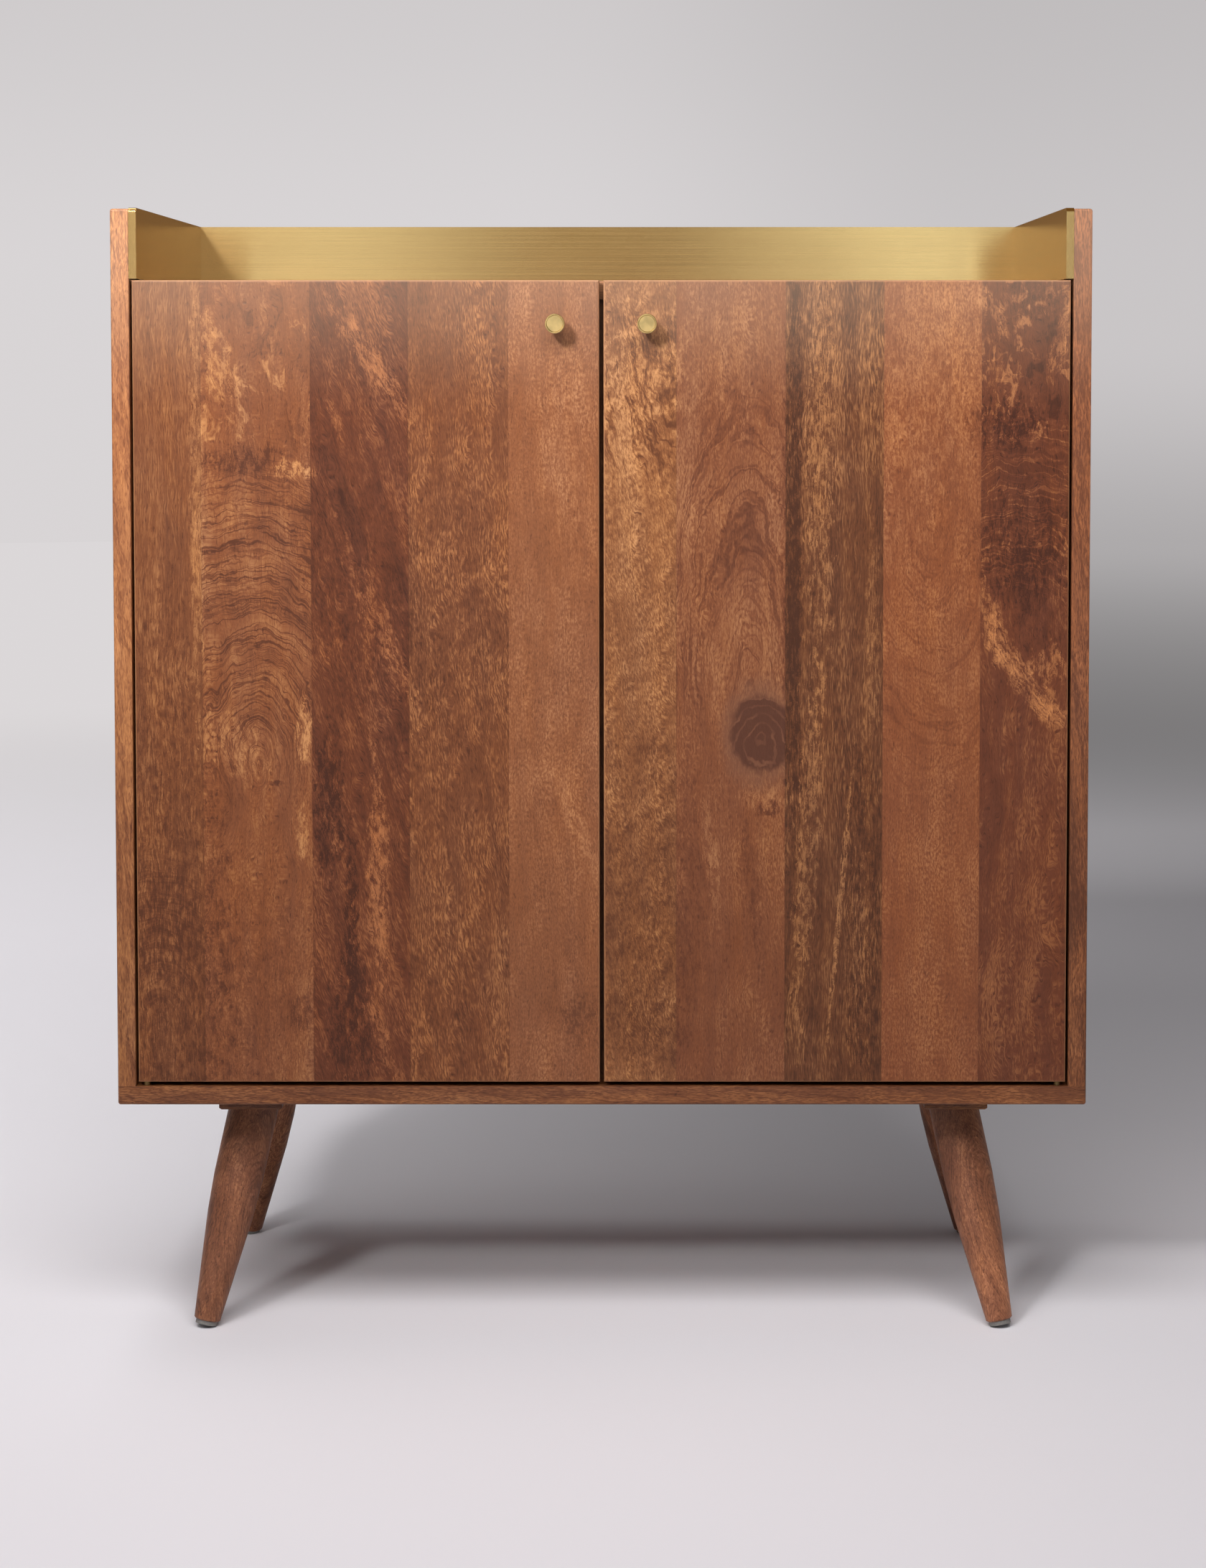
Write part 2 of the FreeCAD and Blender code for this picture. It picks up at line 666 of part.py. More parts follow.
def build_fold_out_shelf():
    edge_gap = leaf_clearance / 2.0
    shelf = block((-inner_half - housing_depth, divider_housing - divider_half),
                  (fixed_shelf_front + edge_gap, back_panel_front),
                  (fixed_shelf_top - shelf_thickness, fixed_shelf_top))
    leaf_low = leaf_pivot_z + leaf_clearance / 2.0
    leaf_back = fixed_shelf_front + leaf_reach
    leaf = block((leaf_left, leaf_right), (fixed_shelf_front + edge_gap, leaf_back),
                 (leaf_low, leaf_low + leaf_thickness))
    corners = [edge for x in (leaf_left, leaf_right) for edge in edges_on(leaf, x=x, y=leaf_back)]
    leaf = leaf.makeFillet(leaf_corner_radius, corners)
    notch = rod(Vector(leaf_centre, leaf_back, leaf_low),
                Vector(leaf_centre, leaf_back, leaf_low + leaf_thickness), finger_notch_radius)
    leaf = leaf.cut(notch)
    pins = []
    for name, offset in (("left", -flap_hinge_offset), ("right", flap_hinge_offset)):
        centre = leaf_centre + offset
        fixed_half, moving_half, pin = flap_hinge(centre)
        shelf = shelf.cut(knuckle_room(centre)).cut(fixed_half)
        leaf = leaf.cut(knuckle_room(centre)).cut(moving_half)
        nodes[name + "_flap_hinge_shelf_half"] = fixed_half
        nodes[name + "_flap_hinge_leaf_half"] = moving_half
        pins.append(pin)
    nodes["fixed_shelf"] = shelf
    nodes["fold_out_leaf"] = leaf
    nodes["flap_hinge_pins"] = Part.makeCompound(pins)


# ---- bottle cradles, adjustable shelf, stemware rails -----------------------------------
def bottle_centres():
    first = left_bay_centre - bottle_pitch * (bottle_count - 1) / 2.0
    return [first + bottle_pitch * index for index in range(bottle_count)]


def cradle(front_setback):
    """Rail across the left bay with a half-round hollow for each bottle."""
    low = front + front_setback
    axis_z = bottom_top + bottle_lift + bottle_hollow_radius
    rail = block((-inner_half, -divider_half), (low, low + cradle_thickness), (bottom_top, axis_z))
    for x in bottle_centres():
        rail = rail.cut(rod(Vector(x, low, axis_z), Vector(x, low + cradle_thickness, axis_z),
                            bottle_hollow_radius))
    return rail


def build_right_shelf():
    shelf = block((divider_half + loose_shelf_end_gap, inner_half - loose_shelf_end_gap),
                  (front + loose_shelf_setback, back_panel_front - loose_shelf_end_gap),
                  (loose_shelf_top - shelf_thickness, loose_shelf_top))
    front_y = front + loose_shelf_setback
    rounded = edges_on(shelf, y=front_y, z=loose_shelf_top)
    rounded += edges_on(shelf, y=front_y, z=loose_shelf_top - shelf_thickness)
    nodes["adjustable_shelf"] = shelf.makeFillet(inner_edge_round, rounded)
    rest = loose_shelf_top - shelf_thickness - pin_radius
    columns = sorted({y for y, z in pin_hole_places()})
    pins = []
    for y in columns:
        for face_x, outward in ((divider_half, 1), (inner_half, -1)):
            seat = Vector(face_x - outward * (pin_hole_depth - pin_end_clearance), y, rest)
            pins.append(rod(seat, seat + Vector(outward * pin_length, 0, 0), pin_radius))
    nodes["shelf_pins"] = Part.makeCompound(pins)


def stemware_rail(x):
    """Inverted-T rail under the top panel; its front corners are rounded to lead a glass foot in."""
    low = top_underside - rail_drop
    y_span = (rail_front, rail_front + rail_length)
    flange = block((x - rail_flange_width / 2.0, x + rail_flange_width / 2.0), y_span,
                   (low, low + rail_flange_thickness))
    noses = []
    for side in (-1, 1):
        noses += edges_on(flange, x=x + side * rail_flange_width / 2.0, y=y_span[0])
    flange = flange.makeFillet(rail_nose_radius, noses)
    web = block((x - rail_web_width / 2.0, x + rail_web_width / 2.0), y_span,
                (low + rail_flange_thickness, top_underside))
    return flange.fuse(web).removeSplitter()


def build_fittings():
    nodes["front_bottle_cradle"] = cradle(cradle_front_setback)
    nodes["rear_bottle_cradle"] = cradle(cradle_rear_setback)
    build_right_shelf()
    first = right_bay_centre - rail_pitch * (rail_count - 1) / 2.0
    for index in range(rail_count):
        nodes["stemware_rail_{}".format(index + 1)] = stemware_rail(first + rail_pitch * index)


# ---- legs ----------------------------------------------------------------------
def block_centres():
    """(x, y) of the four leg tops: front left, front right, rear left, rear right."""
    x = half_width - leg_from_end
    return [(side * x, y) for y in (front + leg_from_face, back - leg_from_face) for side in (-1, 1)]


def leg_frame(place):
    """Top centre of a leg and the unit vector down its axis, splayed away from the middle."""
    x, y = place
    top = Vector(x, y, floor_clearance - block_thickness)
    plan_middle = (front + back) / 2.0
    run = Vector(math.copysign(leg_splay, x), math.copysign(leg_splay, y - plan_middle), -top.z)
    return top, run.normalize()


def hanger_bolt(place, grow=0.0):
    """Bolt on the leg's axis, from the leg through its block into the bottom panel."""
    top, down = leg_frame(place)
    upper = (block_thickness + bottom_thickness / 2.0) / -down.z
    return rod(top - down * (upper + grow), top + down * (hanger_bolt_in_leg + grow),
               hanger_bolt_radius + grow)


def block_screw_places(place):
    """Screw heads under a leg block, in the two corners beside the leg's splay."""
    top, down = leg_frame(place)
    reach = block_size / 2.0 - block_screw_inset
    across = Vector(math.copysign(reach, down.x), -math.copysign(reach, down.y), 0)
    return [top + across, top - across]


def block_screw(head, grow=0.0):
    return screw(head, (0, 0, 1), block_screw_length + grow, block_screw_radius + grow,
                 block_screw_head_radius + grow, block_screw_head_height)


def leg_block(place):
    """Square wood block under the bottom panel, with its lower edges eased."""
    x, y = place
    low = floor_clearance - block_thickness
    half = block_size / 2.0
    body = block((x - half, x + half), (y - half, y + half), (low, floor_clearance))
    body = body.makeChamfer(block_chamfer, edges_on(body, z=low))
    body = body.cut(hanger_bolt(place, hanger_bolt_clearance))
    for head in block_screw_places(place):
        body = body.cut(block_screw(head, screw_clearance))
    return body


def turned_leg(end):
    """Leg about +Z: a cylinder, a soft shoulder, then a straight taper to the foot at z = end."""
    slope = (leg_radius - foot_radius) / (end - leg_shoulder)
    blend = leg_shoulder_blend
    return turned([
        (0.0, -leg_radius),
        (leg_radius, -leg_radius),
        (leg_radius, leg_shoulder - blend),
        (leg_radius - slope * blend, leg_shoulder + blend),
        (foot_radius + slope * foot_chamfer, end - foot_chamfer),
        (foot_radius - foot_chamfer, end),
        (0.0, end),
    ])


def build_legs():
    bolts = []
    screws = []
    names = ("front_left", "front_right", "rear_left", "rear_right")
    for name, place in zip(names, block_centres()):
        top, down = leg_frame(place)
        tilt_sine = math.sqrt(1.0 - down.z ** 2)
        glide_centre_z = glide_radius * tilt_sine - glide_flat
        glide_end = (top.z - glide_centre_z) / -down.z
        upright = Placement(top, Rotation(Vector(0, 0, 1), down))
        leg = turned_leg(glide_end - glide_thickness)
        leg.Placement = upright
        room = block((top.x - height, top.x + height), (top.y - height, top.y + height), (0.0, top.z))
        leg = leg.common(room).cut(hanger_bolt(place, hanger_bolt_clearance))
        glide = rod(top + down * (glide_end - glide_thickness), top + down * glide_end, glide_radius)
        nodes[name + "_leg_block"] = leg_block(place)
        nodes[name + "_leg"] = leg
        nodes[name + "_glide"] = glide.common(room)
        bolts.append(hanger_bolt(place))
        screws += [block_screw(head) for head in block_screw_places(place)]
    nodes["hanger_bolts"] = Part.makeCompound(bolts)
    nodes["leg_block_screws"] = Part.makeCompound(screws)


def main():
    build_carcass()
    build_gallery()
    build_doors()
    build_catches()
    build_fold_out_shelf()
    build_fittings()
    build_legs()
    os.makedirs("parts", exist_ok=True)
    for name, shape in nodes.items():
        solids = shape.Solids
        piece = solids[0] if len(solids) == 1 else Part.makeCompound(solids)
        piece.exportStep(os.path.join("parts", name + ".step"))
        volume = sum(solid.Volume for solid in solids)
        print("{:32s} solids {:2d}  volume {:12.1f}  valid {}".format(
            name, len(solids), volume, all(solid.isValid() for solid in solids)))
    print("nodes:", len(nodes))


main()
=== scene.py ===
import math

import bpy
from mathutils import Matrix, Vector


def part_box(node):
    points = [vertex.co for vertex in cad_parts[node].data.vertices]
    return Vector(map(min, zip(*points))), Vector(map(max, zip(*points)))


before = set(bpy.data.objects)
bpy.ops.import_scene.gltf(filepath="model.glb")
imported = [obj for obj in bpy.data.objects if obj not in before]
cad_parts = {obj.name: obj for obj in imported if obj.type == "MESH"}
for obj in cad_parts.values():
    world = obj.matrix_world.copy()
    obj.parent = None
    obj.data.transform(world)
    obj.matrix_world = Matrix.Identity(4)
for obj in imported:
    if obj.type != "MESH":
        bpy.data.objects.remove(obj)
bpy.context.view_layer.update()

# Sizes are in metres. The cabinet stands on z = 0, its doors face -y, and x runs to the right.
LEFT_DOOR_JOINTS = (-0.3681, -0.2675, -0.1776, -0.0857)     # glue lines between the staves
RIGHT_DOOR_JOINTS = (0.0689, 0.1694, 0.2594, 0.3493)
DOOR_FACE = 0.189               # the doors' faces stand this far in front of the middle
STAVE_WIDTH = 0.086             # staves of the side panels, shelves and top
ONE_BOARD = 0.2                 # stave width of the blocks and cradles, cut from wide boards
RAIL_PITCH = 0.092              # each stemware rail is a stave of its own
LEG_SPLAY = 0.0425              # a leg's foot stands this far out from its head, each way
LEG_SHADE = (0.150, 0.203)      # heights between which a leg grows darker towards its block: painted shade, where the cabinet shades it
FOOT_TONE = (0.04, 0.13)        # heights between which a leg's own tone at the foot dies out
PAINTED_SHEEN_RISE = (0.86, 1.03)         # heights between which the painted sheen comes in, a haze of light painted near the top
PAINTED_LIGHT_RISE = (0.25, 1.0)         # heights between which a side panel grows paler: painted light, brighter towards the top
GLUE_EDGE = (0.0002, 0.0008)    # a glue line is dark up to the first distance, gone at the second
EDGE_HIGHLIGHT_REACH = (0.0006, 0.0016)     # a door's edge is painted pale in the same way, a painted highlight where the edge catches the light


# ---------------------------------------------------------------- colours and nodes

def paint(red, green, blue):
    """A paint-chart colour (0 to 255) as the linear colour that a shader takes."""
    def linear(value):
        value = value / 255.0
        if value <= 0.04045:
            return value / 12.92
        return ((value + 0.055) / 1.055) ** 2.4
    return (linear(red), linear(green), linear(blue), 1.0)


def tinted(colour, level):
    """The same colour, darker or lighter."""
    return tuple(channel * level for channel in colour[:3]) + (1.0,)


GLUE = paint(48, 27, 19)
# Pale colour of the painted highlight along the doors' edges.
EDGE_HIGHLIGHT_PAINT = paint(186, 134, 96)
# Pale colour of the painted sheen: a haze of light painted near the top of the wood.
PAINTED_SHEEN = (0.85, 0.68, 0.50, 1.0)
SHEET_BRASS = (0.72, 0.475, 0.185)
KNOB_BRASS = (0.62, 0.46, 0.20)
# Hinge brass painted dark: painted shade, so that the plates seen in the door gaps stay dark.
HINGE_BRASS_PAINTED_DARK = (0.21, 0.145, 0.065)
ZINC = (0.56, 0.56, 0.54)
GLIDE_GREY = (0.20, 0.19, 0.18)
CATCH_BROWN = (0.040, 0.018, 0.009)
FERRITE = (0.012, 0.012, 0.012)
LAMP_WHITE = (1.0, 0.985, 0.97)
BACKDROP_TINT = (1.0, 0.96, 0.97)
ROOM_GLOW = (0.21, 0.13, 0.06)          # the dim room that the brass mirrors
PANEL_GLOW = (1.0, 1.25, 1.5)           # what its lit panels add


class Wiring:
    """Adds nodes to one tree. A value may be a number, a tuple or another node's output."""

    def __init__(self, tree):
        self.tree = tree

    def node(self, kind, **settings):
        made = self.tree.nodes.new(kind)
        for name, value in settings.items():
            setattr(made, name, value)
        return made

    def put(self, socket, value):
        if isinstance(value, bpy.types.NodeSocket):
            self.tree.links.new(value, socket)
        else:
            socket.default_value = value

    def math(self, operation, *values, clamp=False):
        made = self.node("ShaderNodeMath", operation=operation, use_clamp=clamp)
        for socket, value in zip(made.inputs, values):
            self.put(socket, value)
        return made.outputs[0]

    def apart(self, first, second):
        """How far two numbers are from each other."""
        return self.math("ABSOLUTE", self.math("SUBTRACT", first, second))

    def square_sum(self, first, second):
        return self.math("ADD", self.math("MULTIPLY", first, first),
                         self.math("MULTIPLY", second, second))

    def length(self, first, second):
        """How long a flat vector is."""
        return self.math("SQRT", self.square_sum(first, second))

    def vector(self, operation, *values):
        made = self.node("ShaderNodeVectorMath", operation=operation)
        for socket, value in zip(made.inputs, values):
            self.put(socket, value)
        return made.outputs["Vector"]

    def combine(self, x, y, z):
        made = self.node("ShaderNodeCombineXYZ")
        for socket, value in zip(made.inputs, (x, y, z)):
            self.put(socket, value)
        return made.outputs[0]

    def separate(self, vector):
        made = self.node("ShaderNodeSeparateXYZ")
        self.put(made.inputs[0], vector)
        return made.outputs[0], made.outputs[1], made.outputs[2]

    def shade(self, colour, level):
        """A colour or a vector times one number."""
        return self.vector("MULTIPLY", colour, self.combine(level, level, level))

    def noise(self, place, cells, detail=2.0, roughness=0.5):
        """Noise from 0 to 1, with so many cells to the metre in each of the three directions."""
        made = self.node("ShaderNodeTexNoise", noise_dimensions="3D")
        self.put(made.inputs["Vector"], self.vector("MULTIPLY", place, cells))
        made.inputs["Scale"].default_value = 1.0
        made.inputs["Detail"].default_value = detail
        made.inputs["Roughness"].default_value = roughness
        return made.outputs["Fac"]

    def centred(self, place, cells, detail=2.0, roughness=0.5):
        """The same noise, about -0.5 to 0.5."""
        return self.math("SUBTRACT", self.noise(place, cells, detail, roughness), 0.5)

    def smooth(self, value, low, high, start=0.0, end=1.0):
        """A soft step from start to end while the value goes from low to high."""
        made = self.node("ShaderNodeMapRange", interpolation_type="SMOOTHSTEP")
        for name, setting in (("Value", value), ("From Min", low), ("From Max", high),
                              ("To Min", start), ("To Max", end)):
            self.put(made.inputs[name], setting)
        return made.outputs["Result"]

    def blend(self, factor, first, second):
        made = self.node("ShaderNodeMix", data_type="RGBA", clamp_factor=False)
        self.put(made.inputs[0], factor)
        self.put(made.inputs[6], first)
        self.put(made.inputs[7], second)
        return made.outputs[2]

    def mix_shaders(self, factor, first, second):
        made = self.node("ShaderNodeMixShader")
        for socket, value in zip(made.inputs, (factor, first, second)):
            self.put(socket, value)
        return made.outputs[0]

    def bump(self, height, distance, strength):
        made = self.node("ShaderNodeBump")
        made.inputs["Strength"].default_value = strength
        made.inputs["Distance"].default_value = distance
        self.put(made.inputs["Height"], height)
        return made.outputs["Normal"]

    def group(self, tree, **values):
        made = self.node("ShaderNodeGroup", node_tree=tree)
        for name, value in values.items():
            self.put(made.inputs[name], value)
        return made.outputs


def new_group(name, inputs, outputs):
    """An empty node group with its sockets, each of them a label and a kind."""
    tree = bpy.data.node_groups.new(name, "ShaderNodeTree")
    kinds = {"number": "NodeSocketFloat", "vector": "NodeSocketVector", "colour": "NodeSocketColor"}
    for label, kind in inputs:
        tree.interface.new_socket(label, in_out="INPUT", socket_type=kinds[kind])
    for label, kind in outputs:
        tree.interface.new_socket(label, in_out="OUTPUT", socket_type=kinds[kind])
    return tree, tree.nodes.new("NodeGroupInput"), tree.nodes.new("NodeGroupOutput")


def new_material(name):
    """A new material with its wiring, its shader and the place on the piece."""
    material = bpy.data.materials.new(name)
    material.use_nodes = True
    wiring = Wiring(material.node_tree)
    shader = material.node_tree.nodes["Principled BSDF"]
    place = wiring.node("ShaderNodeTexCoord").outputs["Object"]
    return material, wiring, shader, place


# ---------------------------------------------------------------- the mango wood

# Noise cells to the metre across, through and along the grain.
DRIFT_CELLS = (13.0, 13.0, 4.0)         # slow change of tone and course
SWIRL_CELLS = (52.0, 52.0, 17.0)        # finer wander of the grain
WAVER_CELLS = (34.0, 34.0, 26.0)        # unsteady edge of the arcs
TEAR_CELLS = (70.0, 70.0, 70.0)         # how a flame is torn
FLAME_CELLS = (46.0, 46.0, 30.0)
STREAK_CELLS = (80.0, 80.0, 3.0)
FIBRE_CELLS = (620.0, 620.0, 30.0)
PORE_CELLS = (1150.0, 1150.0, 150.0)
HUE_CELLS = (24.0, 24.0, 7.0)
STRAND_CELLS = (380.0, 1.0, 75.0)       # fine strands in a cloud
RAG_CELLS = (110.0, 110.0, 60.0)        # frayed edge of the clouds on a door
KNOT_CELLS = (42.0, 42.0, 34.0)         # uneven outline of a knot
SEED_STEP = (7.3, 3.1, 1.7)             # how far apart in the noise two seeds lie

DRIFT_BEND, SWIRL_BEND = 0.05, 0.016    # how far, in metres, the two bend the grain
ARC_WAVER = 2.6                         # rings that the waver moves an arc by
ARC_LENGTH = (7.0, 5.0)                 # changes of an arc to the metre, across and along
YEAR_CELLS = (0.8, 1.0, 1.0)            # noise of the single rings, in cells to a ring
YEARS_CELLS = (0.22, 1.0, 1.0)          # noise of several rings together
EARLY_LINE, LATE_LINE = 0.56, 0.47      # where in a ring's noise its two dark lines lie
CURL_CELLS = (0.9, 1.0, 1.0)            # noise of the curl, in cells to a band
CURL_LENGTH, CURL_WAVER, CURL_TONE = 16.0, 2.2, 2.6
TEAR_REACH = (0.05, 0.0, 0.05)          # how far, in metres, a flame is torn
RUFFLE_REACH = (0.006, 0.0, 0.0)        # how far the curl shifts the dashes
CLOUD_FRAY, STRAND_BEND = 7.0, 0.02     # what the ragged noise does to a cloud
KNOT_RINGS = 23.0
# how strongly the painted sheen, a highlight painted near the top, covers the wood
PAINTED_SHEEN_COVER = 0.095
GRAIN_DEPTH, GRAIN_BUMP = 0.0003, 0.3   # depth of the open pores, and how much it shows
# How much each mark counts in the tone, where 0 is the dark colour, 0.5 the body and 1 the pale.
BODY_TONE, FIBRE_TONE, DRIFT_TONE, PORE_TONE = 0.5, 0.45, 0.5, -0.3
PALE_LIMIT = 1.3                        # the tone may go a little past the pale colour
WARM_RED, WARM_BLUE = 0.16, -0.42       # what a warmer hue does to the red and to the blue
NO_FLAME = (0.0, 0.1, 0.0)


class Board:
    """What all the marks on one stave share: the place, the seed and the course of the grain."""

    def __init__(self, w, given):
        self.x, self.y, self.z = w.separate(given["Place"])
        self.wander = w.separate(given["Window"])[2]
        offset = w.shade(SEED_STEP, given["Seed"])
        self.seeded = w.vector("ADD", given["Place"], offset)
        self.drift = w.centred(self.seeded, DRIFT_CELLS, 2.0)
        self.swirl = w.centred(self.seeded, SWIRL_CELLS, 2.0, 0.6)
        lean = w.separate(given["Marks"])[2]
        above_pith = w.math("SUBTRACT", self.z, w.separate(given["Pith"])[2])
        bent = w.math("MULTIPLY_ADD", self.drift, DRIFT_BEND,
                      w.math("MULTIPLY", self.swirl, SWIRL_BEND))
        self.side = w.math("MULTIPLY_ADD", bent, self.wander,
                           w.math("ADD", self.x, w.math("MULTIPLY", lean, above_pith)))
        self.grain = w.vector("ADD", w.combine(self.side, self.y, self.z), offset)


def growth_arcs(w, given, board):
    """Arcs of the year rings round the pith, shown along a part of the board."""
    pith_x, pith_depth, pith_z = w.separate(given["Pith"])
    spacing, tone, slope = w.separate(given["Rings"])
    middle, half, _ = w.separate(given["Window"])
    across = w.math("SUBTRACT", board.side, pith_x)
    depth = w.math("MULTIPLY_ADD", slope, w.math("SUBTRACT", board.z, pith_z), pith_depth)
    radius = w.length(across, w.math("ADD", depth, board.y))
    waver = w.math("MULTIPLY", w.centred(board.seeded, WAVER_CELLS, 3.0, 0.6), ARC_WAVER)
    turn = w.math("MULTIPLY_ADD", waver, board.wander, w.math("DIVIDE", radius, spacing))
    strip = w.combine(turn, w.math("MULTIPLY", board.x, ARC_LENGTH[0]),
                      w.math("MULTIPLY", board.z, ARC_LENGTH[1]))
    year = w.noise(strip, YEAR_CELLS, 3.0, 0.55)
    late = w.smooth(w.apart(year, LATE_LINE), 0.0, 0.04, 1.0, 0.0)
    early = w.smooth(w.apart(year, EARLY_LINE), 0.0, 0.03, 0.6, 0.0)
    glow = w.math("MULTIPLY_ADD", w.centred(strip, YEARS_CELLS, 2.0), 1.6, 0.2)
    arcs = w.math("SUBTRACT", glow, w.math("ADD", late, early))
    shown = w.smooth(w.math("DIVIDE", w.apart(board.z, middle), half), 0.6, 1.3, 1.0, 0.0)
    return w.math("MULTIPLY", w.math("MULTIPLY", arcs, tone), shown)


def curl_bands(w, given, board):
    """Bands of curl that cross the grain."""
    tone, rise, spacing = w.separate(given["Curl"])
    level = w.math("SUBTRACT", board.z, w.math("MULTIPLY", board.x, rise))
    level = w.math("MULTIPLY_ADD", board.swirl, CURL_WAVER, w.math("DIVIDE", level, spacing))
    along = w.math("MULTIPLY", w.math("MULTIPLY_ADD", board.z, rise, board.x), CURL_LENGTH)
    bands = w.centred(w.combine(level, along, given["Seed"]), CURL_CELLS, 3.0, 0.6)
    return w.math("MULTIPLY", bands, w.math("MULTIPLY", tone, CURL_TONE))


def torn_flame(w, given, board):
    """Torn patches of curly grain round one height."""
    middle, half, tone = w.separate(given["Flame"])
    torn = w.combine(board.swirl, 0.0, w.centred(board.seeded, TEAR_CELLS))
    torn = w.vector("MULTIPLY_ADD", torn, TEAR_REACH, board.seeded)
    flame = w.noise(torn, FLAME_CELLS, 5.0, 0.66)
    pale, dark = w.smooth(flame, 0.53, 0.66), w.smooth(flame, 0.46, 0.34, 0.0, 0.6)
    shown = w.smooth(w.math("DIVIDE", w.apart(board.z, middle), half), 0.75, 1.2, 1.0, 0.0)
    return w.math("MULTIPLY", w.math("MULTIPLY", w.math("SUBTRACT", pale, dark), tone), shown)


def dashes_and_pores(w, given, board, bands):
    """Short dashes along the grain, livelier in some places than in others, and open pores."""
    across, along, _ = w.separate(given["Dash"])
    ruffle = w.combine(w.math("ADD", board.swirl, bands), 0.0, 0.0)
    ruffle = w.vector("MULTIPLY_ADD", ruffle, RUFFLE_REACH, board.grain)
    dash = w.smooth(w.noise(ruffle, w.combine(across, across, along), 2.0, 0.55),
                    0.36, 0.66, -0.5, 0.5)
    lively = w.math("ADD", board.drift, w.math("MULTIPLY_ADD", bands, 0.3, board.swirl))
    dash = w.math("MULTIPLY", dash, w.smooth(lively, -0.25, 0.3, 0.5, 1.35))
    return dash, w.smooth(w.noise(ruffle, PORE_CELLS, 1.0), 0.58, 0.70)


def mango_figure():
    """The figure of one stave: arcs round a pith, streaks, bands of curl, dashes and pores.

    Place is across, through and along the grain. Pith is where the arcs have their middle, Rings
    their spacing, tone and slope, Window where along the board they show and how much they wander,
    Marks the streaks, the hue and the lean of the grain, Curl the bands that cross the grain
    (tone, rise and spacing), Dash the short marks (number per metre across and along, tone) and
    Flame the torn patches of curly grain (height, half height, tone).
    """
    tree, group_in, group_out = new_group(
        "mango figure",
        (("Place", "vector"), ("Seed", "number"), ("Dark", "colour"), ("Body", "colour"),
         ("Pale", "colour"), ("Pith", "vector"), ("Rings", "vector"), ("Window", "vector"),
         ("Marks", "vector"), ("Curl", "vector"), ("Dash", "vector"), ("Flame", "vector"),
         ("Tone", "number")),
        (("Colour", "colour"), ("Relief", "number")))
    w = Wiring(tree)
    given = group_in.outputs
    board = Board(w, given)
    arcs = growth_arcs(w, given, board)
    bands = curl_bands(w, given, board)
    flame = torn_flame(w, given, board)
    dash, pore = dashes_and_pores(w, given, board, bands)
    streak = w.centred(board.grain, STREAK_CELLS, 4.0, 0.62)
    fibre = w.centred(board.grain, FIBRE_CELLS, 2.0, 0.6)
    streak_tone, hue_tone, _ = w.separate(given["Marks"])
    dash_tone = w.separate(given["Dash"])[2]

    tone = w.math("ADD", w.math("ADD", BODY_TONE, given["Tone"]),
                  w.math("ADD", arcs, w.math("ADD", bands, flame)))
    for mark, weight in ((streak, streak_tone), (dash, dash_tone), (fibre, FIBRE_TONE),
                         (w.math("ADD", board.drift, board.swirl), DRIFT_TONE),
                         (pore, PORE_TONE)):
        tone = w.math("MULTIPLY_ADD", mark, weight, tone)
    low = w.math("MULTIPLY", tone, 2.0, clamp=True)
    high = w.math("MAXIMUM", w.math("MULTIPLY_ADD", tone, 2.0, -1.0), 0.0)
    colour = w.blend(w.math("MINIMUM", high, PALE_LIMIT),
                     w.blend(low, given["Dark"], given["Body"]), given["Pale"])
    warm = w.math("MULTIPLY_ADD", streak, 0.5, w.centred(board.seeded, HUE_CELLS, 3.0, 0.6))
    warm = w.math("MULTIPLY", warm, hue_tone)
    hue = w.combine(w.math("MULTIPLY_ADD", warm, WARM_RED, 1.0), 1.0,
                    w.math("MULTIPLY_ADD", warm, WARM_BLUE, 1.0))
    w.put(group_out.inputs["Colour"], w.vector("MULTIPLY", colour, hue))
    w.put(group_out.inputs["Relief"],
          w.math("MULTIPLY_ADD", pore, -1.0, w.math("MULTIPLY", dash, 0.5)))
    return tree


def figure_cloud():
    """A frayed lighter or darker patch of figure with its own middle, reach and lean."""
    tree, group_in, group_out = new_group(
        "figure cloud",
        (("Place", "vector"), ("Middle", "vector"), ("Reach", "vector"), ("Lean", "number"),
         ("Ragged", "number"), ("Strength", "number"), ("Before", "number")),
        (("Tone", "number"),))
    w = Wiring(tree)
    given = group_in.outputs
    x, _, z = w.separate(w.vector("SUBTRACT", given["Place"], given["Middle"]))
    reach_x, _, reach_z = w.separate(given["Reach"])
    flow = w.math("MULTIPLY_ADD", given["Lean"], z, x)
    away = w.square_sum(w.math("DIVIDE", flow, reach_x), w.math("DIVIDE", z, reach_z))
    away = w.math("MULTIPLY_ADD", given["Ragged"], CLOUD_FRAY, away)
    bent = w.math("MULTIPLY_ADD", given["Ragged"], STRAND_BEND, flow)
    strands = w.noise(w.combine(bent, 0.0, z), STRAND_CELLS, 3.0, 0.62)
    shown = w.math("MULTIPLY", w.smooth(away, 0.2, 1.9, 1.0, 0.0),
                   w.smooth(strands, 0.38, 0.62, 0.0, 1.6))
    w.put(group_out.inputs["Tone"],
          w.math("MULTIPLY_ADD", shown, given["Strength"], given["Before"]))
    return tree


FIGURE = mango_figure()
CLOUD = figure_cloud()


